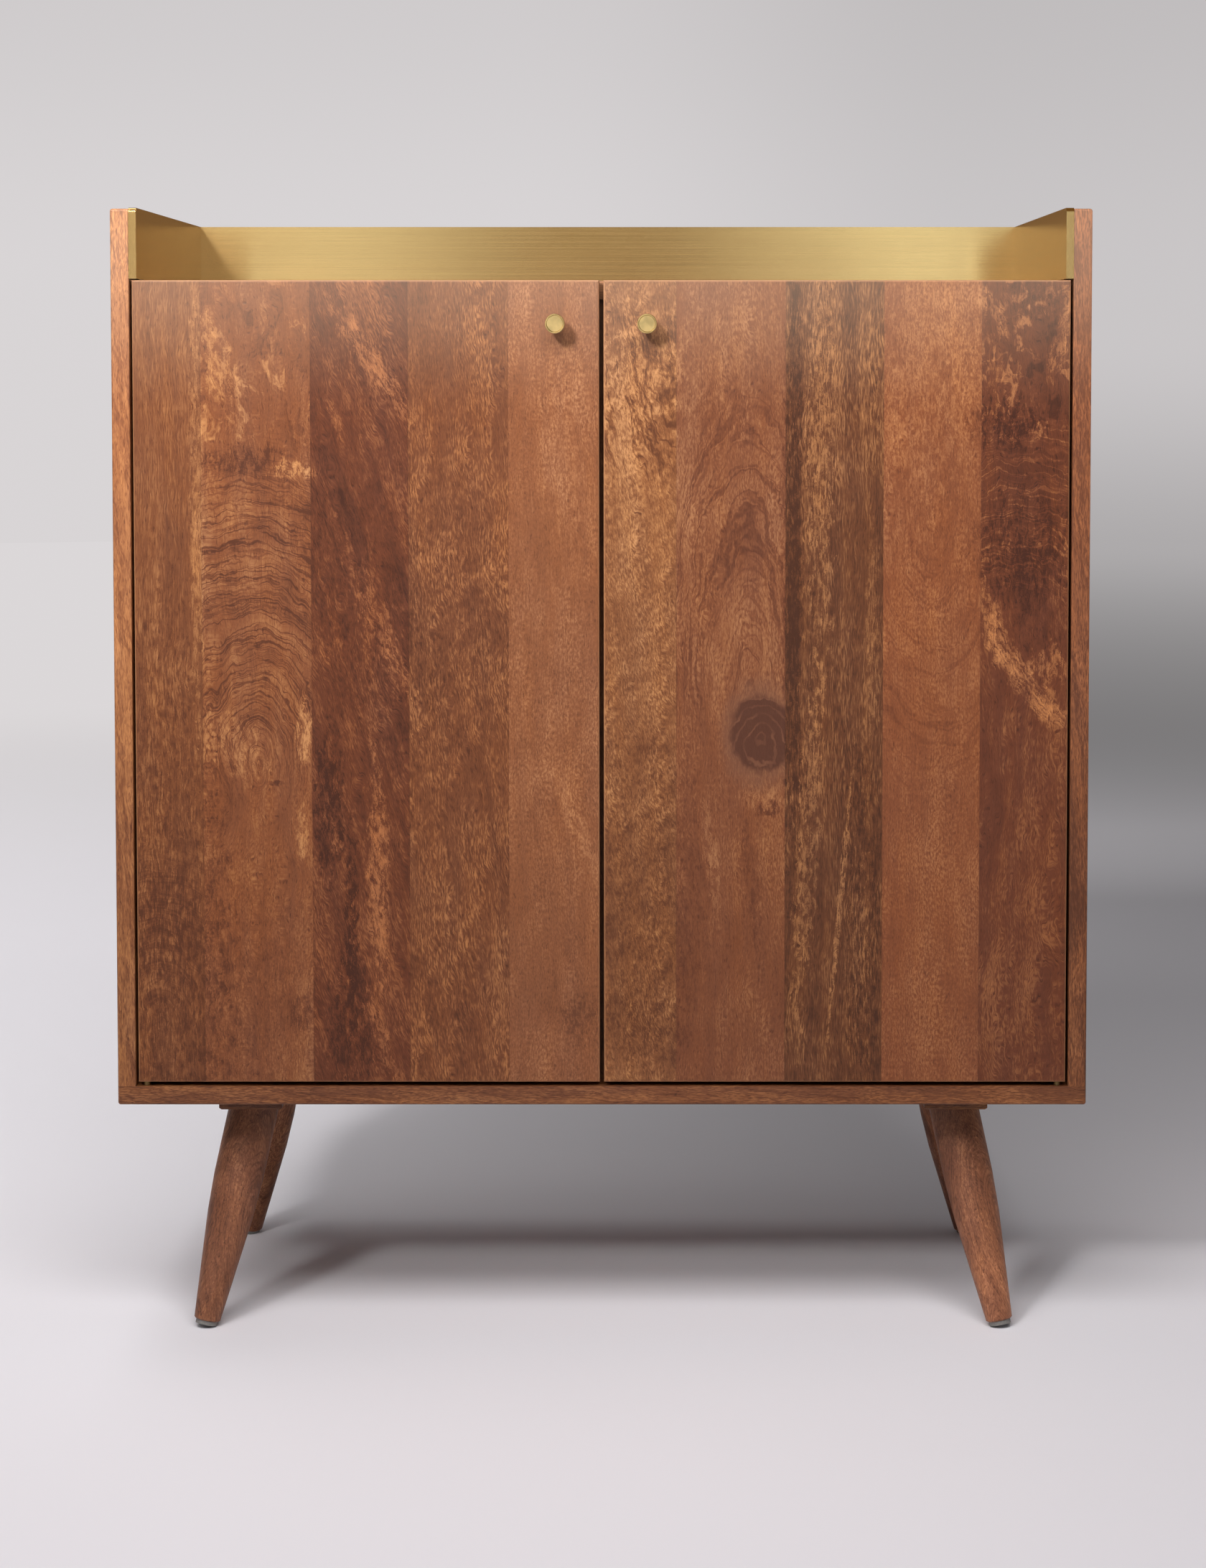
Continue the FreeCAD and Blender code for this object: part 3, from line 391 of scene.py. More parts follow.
def satin(w, shader, colour, relief, gloss_noise, roughness=0.44):
    """The hand-rubbed satin lacquer that all the mango wood has, with a painted sheen that makes it
    paler near the top.
    """
    height = w.separate(w.node("ShaderNodeTexCoord").outputs["Object"])[2]
    # painted sheen: the colour is painted paler near the top, as the light's haze on the lacquer
    painted_sheen = w.smooth(height, *PAINTED_SHEEN_RISE, 0.0, PAINTED_SHEEN_COVER)
    w.put(shader.inputs["Base Color"], w.blend(painted_sheen, colour, PAINTED_SHEEN))
    w.put(shader.inputs["Roughness"],
          w.smooth(gloss_noise, -0.3, 0.3, roughness - 0.06, roughness + 0.08))
    w.put(shader.inputs["Normal"], w.bump(relief, GRAIN_DEPTH, GRAIN_BUMP))
    shader.inputs["Specular IOR Level"].default_value = 0.24


def stave(body, dark, pale, pith, rings, window, marks, curl, dash, flame=NO_FLAME):
    """One row of a door's table of staves."""
    return {"Body": paint(*body), "Dark": paint(*dark), "Pale": paint(*pale),
            "Pith": pith, "Rings": rings, "Window": window, "Marks": marks,
            "Curl": curl, "Dash": dash, "Flame": flame}


# body, dark and pale colour; pith (across, depth, height); rings (spacing, tone, slope);
# window (height, half height, wander); marks (streaks, hue, lean); curl (tone, rise, spacing);
# dash (across, along, tone); flame (height, half height, tone)
LEFT_DOOR_STAVES = (
    stave((111, 65, 37), (78, 42, 24), (154, 104, 64),
          (-0.405, 0.0, 0.30), (0.0060, 0.20, 0.60), (0.38, 0.09, 0.4), (0.75, 1.0, 0.01),
          (0.05, 0.3, 0.020), (950.0, 75.0, 0.32)),
    stave((117, 68, 40), (78, 42, 25), (164, 113, 71),
          (-0.322, 0.0, 0.545), (0.0045, 0.50, 0.60), (0.675, 0.150, 1.1), (0.20, 1.3, 0.03),
          (0.10, 0.3, 0.030), (800.0, 300.0, 0.20), (0.905, 0.085, 0.42)),
    stave((91, 48, 28), (60, 30, 17), (140, 87, 53),
          (-0.26, 0.12, 0.95), (0.0090, 0.10, 0.08), (0.62, 0.60, 0.7), (1.00, 1.2, 0.30),
          (0.10, -0.5, 0.025), (900.0, 150.0, 0.30), (0.60, 0.45, 0.16)),
    stave((107, 62, 36), (73, 39, 22), (158, 105, 64),
          (-0.16, 0.0, 0.20), (0.0095, 0.18, 0.20), (0.36, 0.20, 0.6), (0.35, 1.0, 0.10),
          (0.20, 1.1, 0.016), (850.0, 130.0, 0.48)),
    stave((122, 74, 46), (91, 53, 32), (158, 109, 74),
          (-0.05, 0.20, 0.60), (0.0080, 0.10, 0.05), (0.60, 0.60, 0.5), (0.30, 0.9, 0.02),
          (0.10, 0.4, 0.030), (700.0, 300.0, 0.36)),
)
RIGHT_DOOR_STAVES = (
    stave((118, 73, 43), (83, 47, 27), (164, 115, 74),
          (0.036, 0.0, 1.02), (0.0110, 0.50, 0.14), (0.89, 0.080, 0.6), (0.25, 1.0, 0.20),
          (0.36, 1.0, 0.014), (800.0, 220.0, 0.42)),
    stave((111, 65, 40), (81, 44, 27), (150, 103, 68),
          (0.1386, 0.0, 0.571), (0.0075, 0.38, 0.22), (0.740, 0.150, 0.6), (0.30, 1.0, 0.02),
          (0.08, 0.6, 0.030), (800.0, 220.0, 0.30)),
    stave((91, 53, 31), (61, 33, 19), (138, 93, 58),
          (0.20, 0.40, 0.60), (0.0110, 0.10, 0.01), (0.60, 0.60, 0.35), (0.95, 0.9, 0.0),
          (0.05, 0.3, 0.020), (900.0, 85.0, 0.50)),
    stave((116, 66, 39), (87, 47, 28), (153, 102, 65),
          (0.304, 0.0, 0.776), (0.0100, 0.20, 0.40), (0.66, 0.14, 0.5), (0.25, 0.9, 0.02),
          (0.10, -0.8, 0.030), (750.0, 280.0, 0.32)),
    stave((92, 49, 30), (58, 29, 18), (152, 99, 61),
          (0.385, 0.0, 0.62), (0.0065, -0.32, 0.80), (0.785, 0.080, 1.3), (0.45, 1.2, 0.03),
          (0.12, 0.3, 0.022), (850.0, 160.0, 0.18), (0.930, 0.085, 0.50)),
)
# middle across and up, reach across and up, lean, tone
LEFT_DOOR_CLOUDS = (
    (-0.3728, 0.780, 0.006, 0.210, 0.00, 0.26),
    (-0.4060, 0.396, 0.030, 0.050, 0.00, -0.18),
    (-0.4000, 0.400, 0.050, 0.260, 0.00, -0.24),
    (-0.3200, 0.330, 0.050, 0.110, 0.00, -0.12),
    (-0.3504, 0.908, 0.013, 0.050, 0.25, 0.26),
    (-0.3034, 0.940, 0.009, 0.035, 0.20, 0.16),
    (-0.3303, 0.826, 0.034, 0.014, 0.00, -0.30),
    (-0.2855, 0.818, 0.020, 0.009, 0.00, 0.42),
    (-0.3393, 0.561, 0.026, 0.030, 0.40, 0.22),
    (-0.3034, 0.528, 0.008, 0.0025, 0.00, -0.55),
    (-0.2745, 0.575, 0.007, 0.026, 0.00, 0.40),
    (-0.2766, 0.481, 0.005, 0.020, 0.00, 0.30),
    (-0.2788, 0.311, 0.010, 0.018, 0.00, -0.25),
    (-0.2094, 0.915, 0.011, 0.055, 0.67, 0.30),
    (-0.2450, 0.866, 0.005, 0.016, 0.30, 0.24),
    (-0.2049, 0.671, 0.013, 0.075, 0.39, 0.30),
    (-0.1300, 0.660, 0.050, 0.110, 0.10, -0.12),
    (-0.2220, 0.680, 0.050, 0.120, 0.30, -0.14),
    (-0.2520, 0.508, 0.013, 0.060, 0.00, -0.40),
    (-0.2072, 0.449, 0.009, 0.100, 0.02, 0.36),
    (-0.2318, 0.396, 0.006, 0.080, 0.00, -0.45),
    (-0.2318, 0.306, 0.020, 0.060, 0.00, -0.30),
    (-0.2050, 0.290, 0.006, 0.050, 0.30, 0.30),
    (-0.0350, 0.850, 0.020, 0.110, 0.00, 0.12),
    (-0.0214, 0.485, 0.009, 0.045, 0.45, 0.20),
    (-0.0169, 0.306, 0.020, 0.022, 0.00, -0.22),
)
RIGHT_DOOR_CLOUDS = (
    (0.0110, 0.913, 0.006, 0.005, 0.00, -0.40),
    (0.0220, 0.789, 0.030, 0.050, 0.00, 0.12),
    (0.0350, 0.910, 0.040, 0.060, 0.00, 0.26),
    (0.1200, 0.920, 0.050, 0.060, 0.00, 0.12),
    (0.0350, 0.820, 0.040, 0.100, 0.20, 0.10),
    (0.0400, 0.420, 0.050, 0.140, 0.00, -0.18),
    (0.0400, 0.300, 0.034, 0.030, 0.00, -0.15),
    (0.1520, 0.514, 0.024, 0.012, 0.00, 0.26),
    (0.1540, 0.504, 0.011, 0.007, 0.00, -0.45),
    (0.1010, 0.463, 0.007, 0.045, 0.12, 0.26),
    (0.1400, 0.430, 0.008, 0.060, 0.10, -0.20),
    (0.1767, 0.735, 0.008, 0.290, 0.00, -0.35),
    (0.2013, 0.830, 0.013, 0.200, 0.00, 0.32),
    (0.2505, 0.668, 0.006, 0.100, 0.00, 0.22),
    (0.1900, 0.470, 0.010, 0.150, -0.05, 0.34),
    (0.2215, 0.425, 0.0025, 0.120, -0.09, 0.45),
    (0.2416, 0.396, 0.015, 0.150, 0.00, -0.26),
    (0.4229, 0.937, 0.008, 0.040, -0.30, 0.24),
    (0.3580, 0.968, 0.008, 0.030, 0.50, 0.20),
    (0.3000, 0.900, 0.050, 0.110, 0.00, 0.20),
    (0.3900, 0.745, 0.050, 0.045, 0.00, -0.24),
    (0.3980, 0.977, 0.022, 0.020, 0.00, -0.20),
    (0.3714, 0.861, 0.032, 0.022, 0.00, -0.36),
    (0.3590, 0.685, 0.010, 0.034, 0.25, 0.26),
    (0.3740, 0.650, 0.013, 0.030, 0.55, 0.26),
    (0.3930, 0.620, 0.016, 0.028, 0.80, 0.26),
    (0.4120, 0.595, 0.014, 0.014, 0.90, 0.24),
    (0.4000, 0.690, 0.045, 0.050, 0.00, -0.12),
    (0.4140, 0.640, 0.014, 0.018, 0.00, 0.28),
)


def picked(w, number, values):
    """The row of a table that belongs to a stave's number, each channel kept between its limits."""
    rows = [tuple(value[:3]) for value in values]
    lows = [min(row[i] for row in rows) for i in range(3)]
    spans = [max(max(row[i] for row in rows) - lows[i], 1e-6) for i in range(3)]
    table = w.node("ShaderNodeValToRGB")
    ramp = table.color_ramp
    ramp.interpolation = "CONSTANT"
    while len(ramp.elements) < len(rows):
        ramp.elements.new(0.5)
    for k, row in enumerate(rows):
        ramp.elements[k].position = k / len(rows)
        ramp.elements[k].color = [(row[i] - lows[i]) / spans[i] for i in range(3)] + [1.0]
    w.put(table.inputs[0], w.math("DIVIDE", w.math("ADD", number, 0.5), len(rows)))
    return w.vector("MULTIPLY_ADD", table.outputs[0], tuple(spans), tuple(lows))


def glue_line(w, gap):
    """1 on a glue line and 0 away from it."""
    return w.smooth(gap, *GLUE_EDGE, 1.0, 0.0)


def stave_number(w, across, joints):
    """Which stave a place lies on, and how far it is from the nearest joint."""
    number = 0.0
    gap = 1.0
    for joint in joints:
        number = w.math("ADD", number, w.math("GREATER_THAN", across, joint))
        gap = w.math("MINIMUM", gap, w.apart(across, joint))
    return number, gap


def edge_distance(w, piece, x, z):
    """How far a place on a door is from its nearest edge."""
    low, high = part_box(piece)
    edge = 1.0
    for part, near, sign in ((x, low[0], 1.0), (x, high[0], -1.0), (z, low[2], 1.0),
                             (z, high[2], -1.0)):
        reach = w.math("MULTIPLY", w.math("SUBTRACT", part, near), sign)
        edge = w.math("MINIMUM", edge, reach)
    return edge


def door_wood(door, joints, staves, clouds, knot=None):
    """A door's five glued staves, each with the figure that its row gives."""
    material, w, shader, place = new_material(door.replace("_", " ") + " staves")
    place = w.vector("ADD", place, (0.0, DOOR_FACE, 0.0))
    x, _, z = w.separate(place)
    number, gap = stave_number(w, x, joints)
    rag = w.centred(place, RAG_CELLS, 5.0, 0.68)
    tone = 0.0
    for across, up, reach_x, reach_z, lean, strength in clouds:
        tone = w.group(CLOUD, Place=place, Middle=(across, 0.0, up), Reach=(reach_x, 1.0, reach_z),
                       Lean=lean, Ragged=rag, Strength=strength, Before=tone)["Tone"]
    rows = {key: picked(w, number, [row[key] for row in staves]) for key in staves[0]}
    made = w.group(FIGURE, Place=place, Seed=number, Tone=tone, **rows)
    colour = made["Colour"]
    if knot:
        colour = knot_over(w, place, colour, **knot)
    glue = glue_line(w, gap)
    colour = w.blend(w.math("MULTIPLY", glue, 0.12), colour, GLUE)
    # painted highlight: the wood is painted pale along the door's edges, where a rounded edge would
    # catch the light
    edge_highlight = w.smooth(edge_distance(w, door, x, z), *EDGE_HIGHLIGHT_REACH, 0.45, 0.0)
    colour = w.blend(edge_highlight, colour, EDGE_HIGHLIGHT_PAINT)
    satin(w, shader, colour, w.math("MULTIPLY_ADD", glue, -0.4, made["Relief"]), rag)
    return material


def knot_over(w, place, colour, joint, across, up, reach_x, reach_z):
    """A dark ringed knot with a greyish halo, laid over its stave and cut off at the joint."""
    x, _, z = w.separate(place)
    side = w.math("DIVIDE", w.math("SUBTRACT", x, across), reach_x)
    rise = w.math("DIVIDE", w.math("SUBTRACT", z, up), reach_z)
    shift = w.centred(place, KNOT_CELLS, 3.0, 0.6)
    away = w.math("MULTIPLY_ADD", shift, 0.65, w.length(side, rise))
    turn = w.math("MULTIPLY", w.math("MULTIPLY_ADD", rise, 0.55, away), KNOT_RINGS)
    ring = w.math("MULTIPLY", w.smooth(w.math("SINE", turn), 0.55, 1.0),
                  w.smooth(shift, -0.15, 0.2, 0.05, 0.6))
    core = w.blend(ring, paint(68, 38, 27), paint(120, 78, 56))
    grey = w.blend(w.math("MULTIPLY", ring, 0.6), paint(104, 68, 50), paint(76, 46, 34))
    within = w.math("LESS_THAN", x, joint)
    halo = w.math("MULTIPLY", w.smooth(away, 0.85, 1.30, 0.60, 0.0), within)
    heart = w.math("MULTIPLY", w.smooth(away, 0.72, 0.90, 0.85, 0.0), within)
    return w.blend(heart, w.blend(halo, colour, grey), core)


def board_wood(name, along, across, seed, level=1.0, width=STAVE_WIDTH, painted_top_light=0.0):
    """Glued-up boards of the same wood, with staves along one axis of the cabinet.

    The painted top light makes a board paler towards the top of the cabinet, where more light
    falls.
    """
    material, w, shader, place = new_material(name)
    parts = dict(zip("xyz", w.separate(place)))
    through = [axis for axis in "xyz" if axis not in (along, across)][0]
    turned = w.combine(parts[across], parts[through], parts[along])
    step = w.math("ADD", w.math("DIVIDE", parts[across], width), 0.37 + seed)
    number = w.math("FLOOR", step)
    white = w.node("ShaderNodeTexWhiteNoise", noise_dimensions="1D")
    w.put(white.inputs["W"], w.math("ADD", number, seed * 3.7))
    dice = w.separate(white.outputs["Color"])
    part = w.math("SUBTRACT", step, number)
    gap = w.math("MULTIPLY", w.math("MINIMUM", part, w.math("SUBTRACT", 1.0, part)), width)
    pith = w.combine(w.math("MULTIPLY", w.math("ADD", number, dice[1]), width), 0.05,
                     w.math("MULTIPLY", dice[2], 0.8))
    rings = w.combine(w.math("MULTIPLY_ADD", dice[0], 0.004, 0.006), 0.22, 0.12)
    tone = w.math("MULTIPLY", w.math("SUBTRACT", dice[0], 0.5), 0.5)
    made = w.group(FIGURE, Place=turned, Seed=w.math("ADD", number, seed), Tone=tone,
                   Dark=tinted(paint(74, 42, 27), level), Body=tinted(paint(113, 68, 42), level),
                   Pale=tinted(paint(158, 106, 66), level), Pith=pith, Rings=rings,
                   Window=(0.5, 2.0, 0.6), Marks=(0.7, 1.0, 0.02), Curl=(0.08, 0.6, 0.025),
                   Dash=(850.0, 140.0, 0.34), Flame=NO_FLAME)
    glue = glue_line(w, gap)
    colour = w.blend(w.math("MULTIPLY", glue, 0.2), made["Colour"], GLUE)
    # painted light: the board is painted paler towards the top
    if painted_top_light:
        colour = w.shade(colour, w.smooth(parts["z"], *PAINTED_LIGHT_RISE, 1.0, 1.0 + painted_top_light))
    rag = w.centred(turned, (85.0, 85.0, 30.0), 3.0)
    satin(w, shader, colour, w.math("MULTIPLY_ADD", glue, -0.4, made["Relief"]), rag)
    return material


def leg_wood(leg, lean_x, lean_y, seed, level, foot):
    """A turned leg, with the grain along its own leaning axis, its own tone at the foot and painted
    shade at the top.
    """
    material, w, shader, place = new_material(leg.replace("_", " ") + " wood")
    turn = w.node("ShaderNodeMapping", vector_type="TEXTURE")
    turn.inputs["Location"].default_value = middle_of(leg)
    turn.inputs["Rotation"].default_value = (lean_y, lean_x, 0.0)
    w.put(turn.inputs["Vector"], place)
    made = w.group(FIGURE, Place=turn.outputs[0], Seed=seed, Tone=0.0,
                   Dark=tinted(paint(76, 45, 31), level), Body=tinted(paint(116, 74, 52), level),
                   Pale=tinted(paint(163, 112, 78), level), Pith=(0.035, 0.03, 0.1),
                   Rings=(0.0055, 0.25, 0.10), Window=(0.0, 1.0, 0.5), Marks=(0.7, 1.0, 0.0),
                   Curl=(0.05, 0.3, 0.025), Dash=(850.0, 110.0, 0.34), Flame=NO_FLAME)
    height = w.separate(place)[2]
    # painted shade: the leg darkens towards its block, where the cabinet shades it; the foot keeps
    # its own tone
    painted_shade_and_foot_tone = w.math("MULTIPLY", w.smooth(height, *LEG_SHADE, 1.06, 0.60),
                  w.smooth(height, *FOOT_TONE, foot, 1.0))
    rag = w.centred(place, (85.0, 85.0, 85.0), 3.0)
    satin(w, shader, w.shade(made["Colour"], painted_shade_and_foot_tone), made["Relief"], rag, roughness=0.48)
    return material


def plain_ply(name):
    """Stained veneer of the plywood back: upright, even and dull."""
    material, w, shader, place = new_material(name)
    band = w.noise(place, (90.0, 90.0, 2.0), 4.0, 0.6)
    pore = w.noise(place, (810.0, 810.0, 18.0), 1.0)
    colour = w.blend(w.smooth(band, 0.3, 0.7), paint(92, 66, 46), paint(126, 94, 66))
    colour = w.blend(w.smooth(pore, 0.6, 0.75, 0.0, 0.5), colour, paint(68, 46, 31))
    w.put(shader.inputs["Base Color"], colour)
    w.put(shader.inputs["Roughness"], w.smooth(band, 0.2, 0.8, 0.62, 0.74))
    w.put(shader.inputs["Normal"], w.bump(pore, 0.0002, 0.4))
    return material


def raw_wood(name):
    """Sawn softwood strips that pack out the brass."""
    material, w, shader, place = new_material(name)
    band = w.noise(place, (60.0, 60.0, 60.0), 4.0, 0.6)
    colour = w.blend(w.smooth(band, 0.3, 0.7), paint(150, 118, 82), paint(196, 166, 124))
    w.put(shader.inputs["Base Color"], colour)
    w.put(shader.inputs["Roughness"], w.smooth(band, 0.2, 0.8, 0.7, 0.85))
    w.put(shader.inputs["Normal"], w.bump(band, 0.0002, 0.5))
    return material


# ---------------------------------------------------------------- metal and plastic

def clouded(w, noise, colour, dark, light):
    """One colour that drifts between a darker and a lighter tint of itself."""
    return w.blend(w.smooth(noise, 0.3, 0.7), tinted(colour, dark), tinted(colour, light))


def brushed_brass(name, along):
    """Sheet brass brushed along one axis, with long fine scratches."""
    material, w, shader, place = new_material(name)
    cells = {"x": (3.0, 900.0, 900.0), "y": (900.0, 3.0, 900.0)}[along]
    scratch = w.noise(place, cells, 3.0, 0.7)
    soft = w.noise(place, tuple(value * 0.08 for value in cells), 2.0)
    dull = w.noise(place, (7.0, 7.0, 7.0), 2.0)
    tone = clouded(w, scratch, SHEET_BRASS, 0.93, 1.05)
    tone = w.blend(w.smooth(soft, 0.3, 0.75, 0.0, 0.16), tone, tinted(SHEET_BRASS, 0.8))
    w.put(shader.inputs["Base Color"], tone)
    rough = w.math("MULTIPLY_ADD", w.math("SUBTRACT", scratch, 0.5), 0.06, 0.16)
    w.put(shader.inputs["Roughness"], w.math("MULTIPLY_ADD", dull, 0.06, rough))
    w.put(shader.inputs["Normal"], w.bump(scratch, 0.00006, 0.5))
    w.put(shader.inputs["Tangent"], w.combine(0.0, 0.0, 1.0))
    shader.inputs["Metallic"].default_value = 1.0
    shader.inputs["Anisotropic"].default_value = 0.5
    return material


def turned_brass(name, knob):
    """Solid brass from the lathe: fine rings round the knob's own axis."""
    material, w, shader, place = new_material(name)
    centre = middle_of(knob)
    x, _, z = w.separate(w.vector("SUBTRACT", place, (centre[0], 0.0, centre[2])))
    wobble = w.noise(place, (300.0, 300.0, 300.0), 2.0)
    turn = w.math("MULTIPLY_ADD", wobble, 2.5, w.math("MULTIPLY", w.length(x, z), 9000.0))
    ring = w.math("MULTIPLY_ADD", w.math("SINE", turn), 0.5, 0.5)
    cloud = w.noise(place, (160.0, 160.0, 160.0), 2.0)
    tone = clouded(w, cloud, KNOB_BRASS, 0.88, 1.08)
    w.put(shader.inputs["Base Color"],
          w.blend(w.math("MULTIPLY", ring, 0.2), tone, tinted(KNOB_BRASS, 0.7)))
    w.put(shader.inputs["Roughness"], w.smooth(cloud, 0.2, 0.8, 0.36, 0.5))
    w.put(shader.inputs["Normal"], w.bump(ring, 0.00002, 0.35))
    shader.inputs["Metallic"].default_value = 1.0
    return material


def small_metal(name, colour, rough_low, rough_high, cells):
    """Plain fittings: a satin metal with a faint clouded finish."""
    material, w, shader, place = new_material(name)
    cloud = w.noise(place, (cells, cells, cells), 3.0, 0.6)
    w.put(shader.inputs["Base Color"], clouded(w, cloud, colour, 0.85, 1.08))
    w.put(shader.inputs["Roughness"], w.smooth(cloud, 0.25, 0.75, rough_low, rough_high))
    w.put(shader.inputs["Normal"], w.bump(cloud, 0.00004, 0.3))
    shader.inputs["Metallic"].default_value = 1.0
    return material


def moulded(name, colour, roughness, cells):
    """Moulded or pressed parts with a fine matte texture."""
    material, w, shader, place = new_material(name)
    speck = w.noise(place, (cells, cells, cells), 3.0, 0.6)
    w.put(shader.inputs["Base Color"], clouded(w, speck, colour, 0.85, 1.15))
    w.put(shader.inputs["Roughness"], w.smooth(speck, 0.2, 0.8, roughness - 0.06, roughness + 0.06))
    w.put(shader.inputs["Normal"], w.bump(speck, 0.00008, 0.4))
    shader.inputs["Specular IOR Level"].default_value = 0.2
    return material


# ---------------------------------------------------------------- dressing the pieces

def dress(material, *names):
    """Gives the named pieces their material."""
    for name in names:
        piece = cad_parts[name]
        if not piece.material_slots:
            piece.data.materials.append(material)
        for slot in piece.material_slots:
            slot.material = material


def pieces_with(*words):
    """The pieces that have one of the words in their name."""
    return [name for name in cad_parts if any(word in name for word in words)]


def middle_of(name):
    low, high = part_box(name)
    return tuple((a + b) / 2.0 for a, b in zip(low, high))


def dress_doors():
    knot = {"joint": RIGHT_DOOR_JOINTS[1], "across": 0.1470, "up": 0.573,
            "reach_x": 0.035, "reach_z": 0.046}
    dress(door_wood("left_door", LEFT_DOOR_JOINTS, LEFT_DOOR_STAVES, LEFT_DOOR_CLOUDS),
          "left_door")
    dress(door_wood("right_door", RIGHT_DOOR_JOINTS, RIGHT_DOOR_STAVES, RIGHT_DOOR_CLOUDS, knot),
          "right_door")


# piece; its wood; the axes of the grain and of the row of staves; seed; tone; painted top light
CARCASS_BOARDS = (
    ("left_side_panel", "left side staves", "z", "y", 0.11, 0.92, 0.55),
    ("right_side_panel", "right side staves", "z", "y", 0.53, 1.0, 0.8),
    ("top_panel", "top panel staves", "x", "y", 0.27, 1.1, 0.0),
    ("bottom_panel", "bottom panel staves", "x", "y", 0.71, 0.9, 0.0),
    ("centre_divider", "divider staves", "z", "y", 0.35, 1.0, 0.0),
    ("gallery_back_board", "gallery back staves", "x", "z", 0.49, 1.0, 0.0),
    ("fixed_shelf", "fixed shelf staves", "x", "y", 0.19, 1.0, 0.0),
    ("fold_out_leaf", "fold-out leaf staves", "x", "y", 0.83, 1.05, 0.0),
    ("adjustable_shelf", "adjustable shelf staves", "x", "y", 0.61, 1.0, 0.0),
)


def dress_carcass():
    for piece, wood, along, across, seed, level, painted_top_light in CARCASS_BOARDS:
        dress(board_wood(wood, along, across, seed, level, painted_top_light=painted_top_light), piece)
    dress(board_wood("bottle cradle wood", "x", "z", 0.43, width=ONE_BOARD),
          *pieces_with("bottle_cradle"))
    dress(board_wood("stemware rail wood", "y", "x", 0.93, width=RAIL_PITCH),
          *pieces_with("stemware_rail"))
    dress(plain_ply("back panel veneer"), "back_panel")


def dress_legs():
    # The blocks' wood is painted darker (level 0.62): painted shade under the cabinet.
    blocks = board_wood("leg block wood", "x", "y", 0.77, 0.62, width=ONE_BOARD)
    for k, (end, side) in enumerate((("front", "left"), ("front", "right"),
                                     ("rear", "left"), ("rear", "right"))):
        leg = "%s_%s_leg" % (end, side)
        low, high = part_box(leg)
        lean = math.atan2(LEG_SPLAY, high[2] - low[2])
        lean_x = lean if side == "left" else -lean
        lean_y = lean if end == "front" else -lean
        foot = 1.4 if leg == "front_right_leg" else 1.0
        dress(leg_wood(leg, lean_x, lean_y, seed=2.3 + 1.7 * k, level=1.25, foot=foot), leg)
        dress(blocks, leg + "_block")


def dress_brass():
    dress(brushed_brass("gallery brass back", "x"), "gallery_liner_back")
    dress(brushed_brass("gallery brass ends", "y"), "gallery_liner_left", "gallery_liner_right")
    for side in ("left", "right"):
        knob = side + "_knob"
        dress(turned_brass(side + " knob brass", knob), knob)
    # The hinge fittings take the darkened brass, which is painted shade for the door gaps.
    dress(small_metal("hinge brass", HINGE_BRASS_PAINTED_DARK, 0.38, 0.55, 240.0),
          *pieces_with("pivot_plate", "door_top_plate", "door_bottom_plate", "flap_hinge"))


def dress_fittings():
    dress(small_metal("zinc plate", ZINC, 0.3, 0.48, 320.0),
          *pieces_with("screw", "strike_plate", "hanger_bolts", "shelf_pins"))
    dress(moulded("glide plastic", GLIDE_GREY, 0.6, 700.0), *pieces_with("_glide"))
    dress(moulded("catch plastic", CATCH_BROWN, 0.5, 900.0), *pieces_with("catch_housing"))
    dress(moulded("magnet ferrite", FERRITE, 0.65, 500.0), "catch_magnets")
    dress(raw_wood("packing strip softwood"), "gallery_packing_strips")


# ---------------------------------------------------------------- floor, light and camera

FLOOR_RADIUS = 12.0
FLOOR_COLOURS = ((0.85, 0.83, 0.88, 1.0), (0.87, 0.85, 0.90, 1.0))
FLOOR_FADE = (1.6, 5.0)         # distances over which the floor gives way to its own glow
FLOOR_SHADE = (3.0, 12.0)       # distances over which that glow's shaded side grows paler
FRONT_EDGE = -0.9               # in front of this the floor fades sooner
LIT_FLOOR, LIT_BACKDROP = 0.71, 0.69


def studio_floor():
    """A pale floor that runs out into the backdrop without an edge."""
    bpy.ops.object.select_all(action="DESELECT")
    bpy.ops.mesh.primitive_circle_add(vertices=96, radius=FLOOR_RADIUS, fill_type="TRIFAN")
    floor = bpy.context.object
    floor.name = "studio_floor"
    material, w, shader, place = new_material("studio floor")
    x, y, _ = w.separate(place)
    mottle = w.noise(place, (2.0, 2.0, 2.0), 2.0)
    w.put(shader.inputs["Base Color"], w.blend(mottle, *FLOOR_COLOURS))
    shader.inputs["Roughness"].default_value = 0.9
    shader.inputs["Specular IOR Level"].default_value = 0.1
    front = w.math("MAXIMUM", w.math("SUBTRACT", FRONT_EDGE, y), 0.0)
    away = w.math("MULTIPLY_ADD", front, 1.1, w.length(x, y))
    far = w.node("ShaderNodeEmission")
    shaded = w.smooth(away, *FLOOR_SHADE, 0.185, 0.42)
    w.put(far.inputs["Color"], w.shade(BACKDROP_TINT, floor_glow(w, x, y, shaded)))
    output = material.node_tree.nodes["Material Output"]
    w.put(output.inputs["Surface"],
          w.mix_shaders(w.smooth(away, *FLOOR_FADE), shader.outputs[0], far.outputs[0]))
    floor.data.materials.append(material)


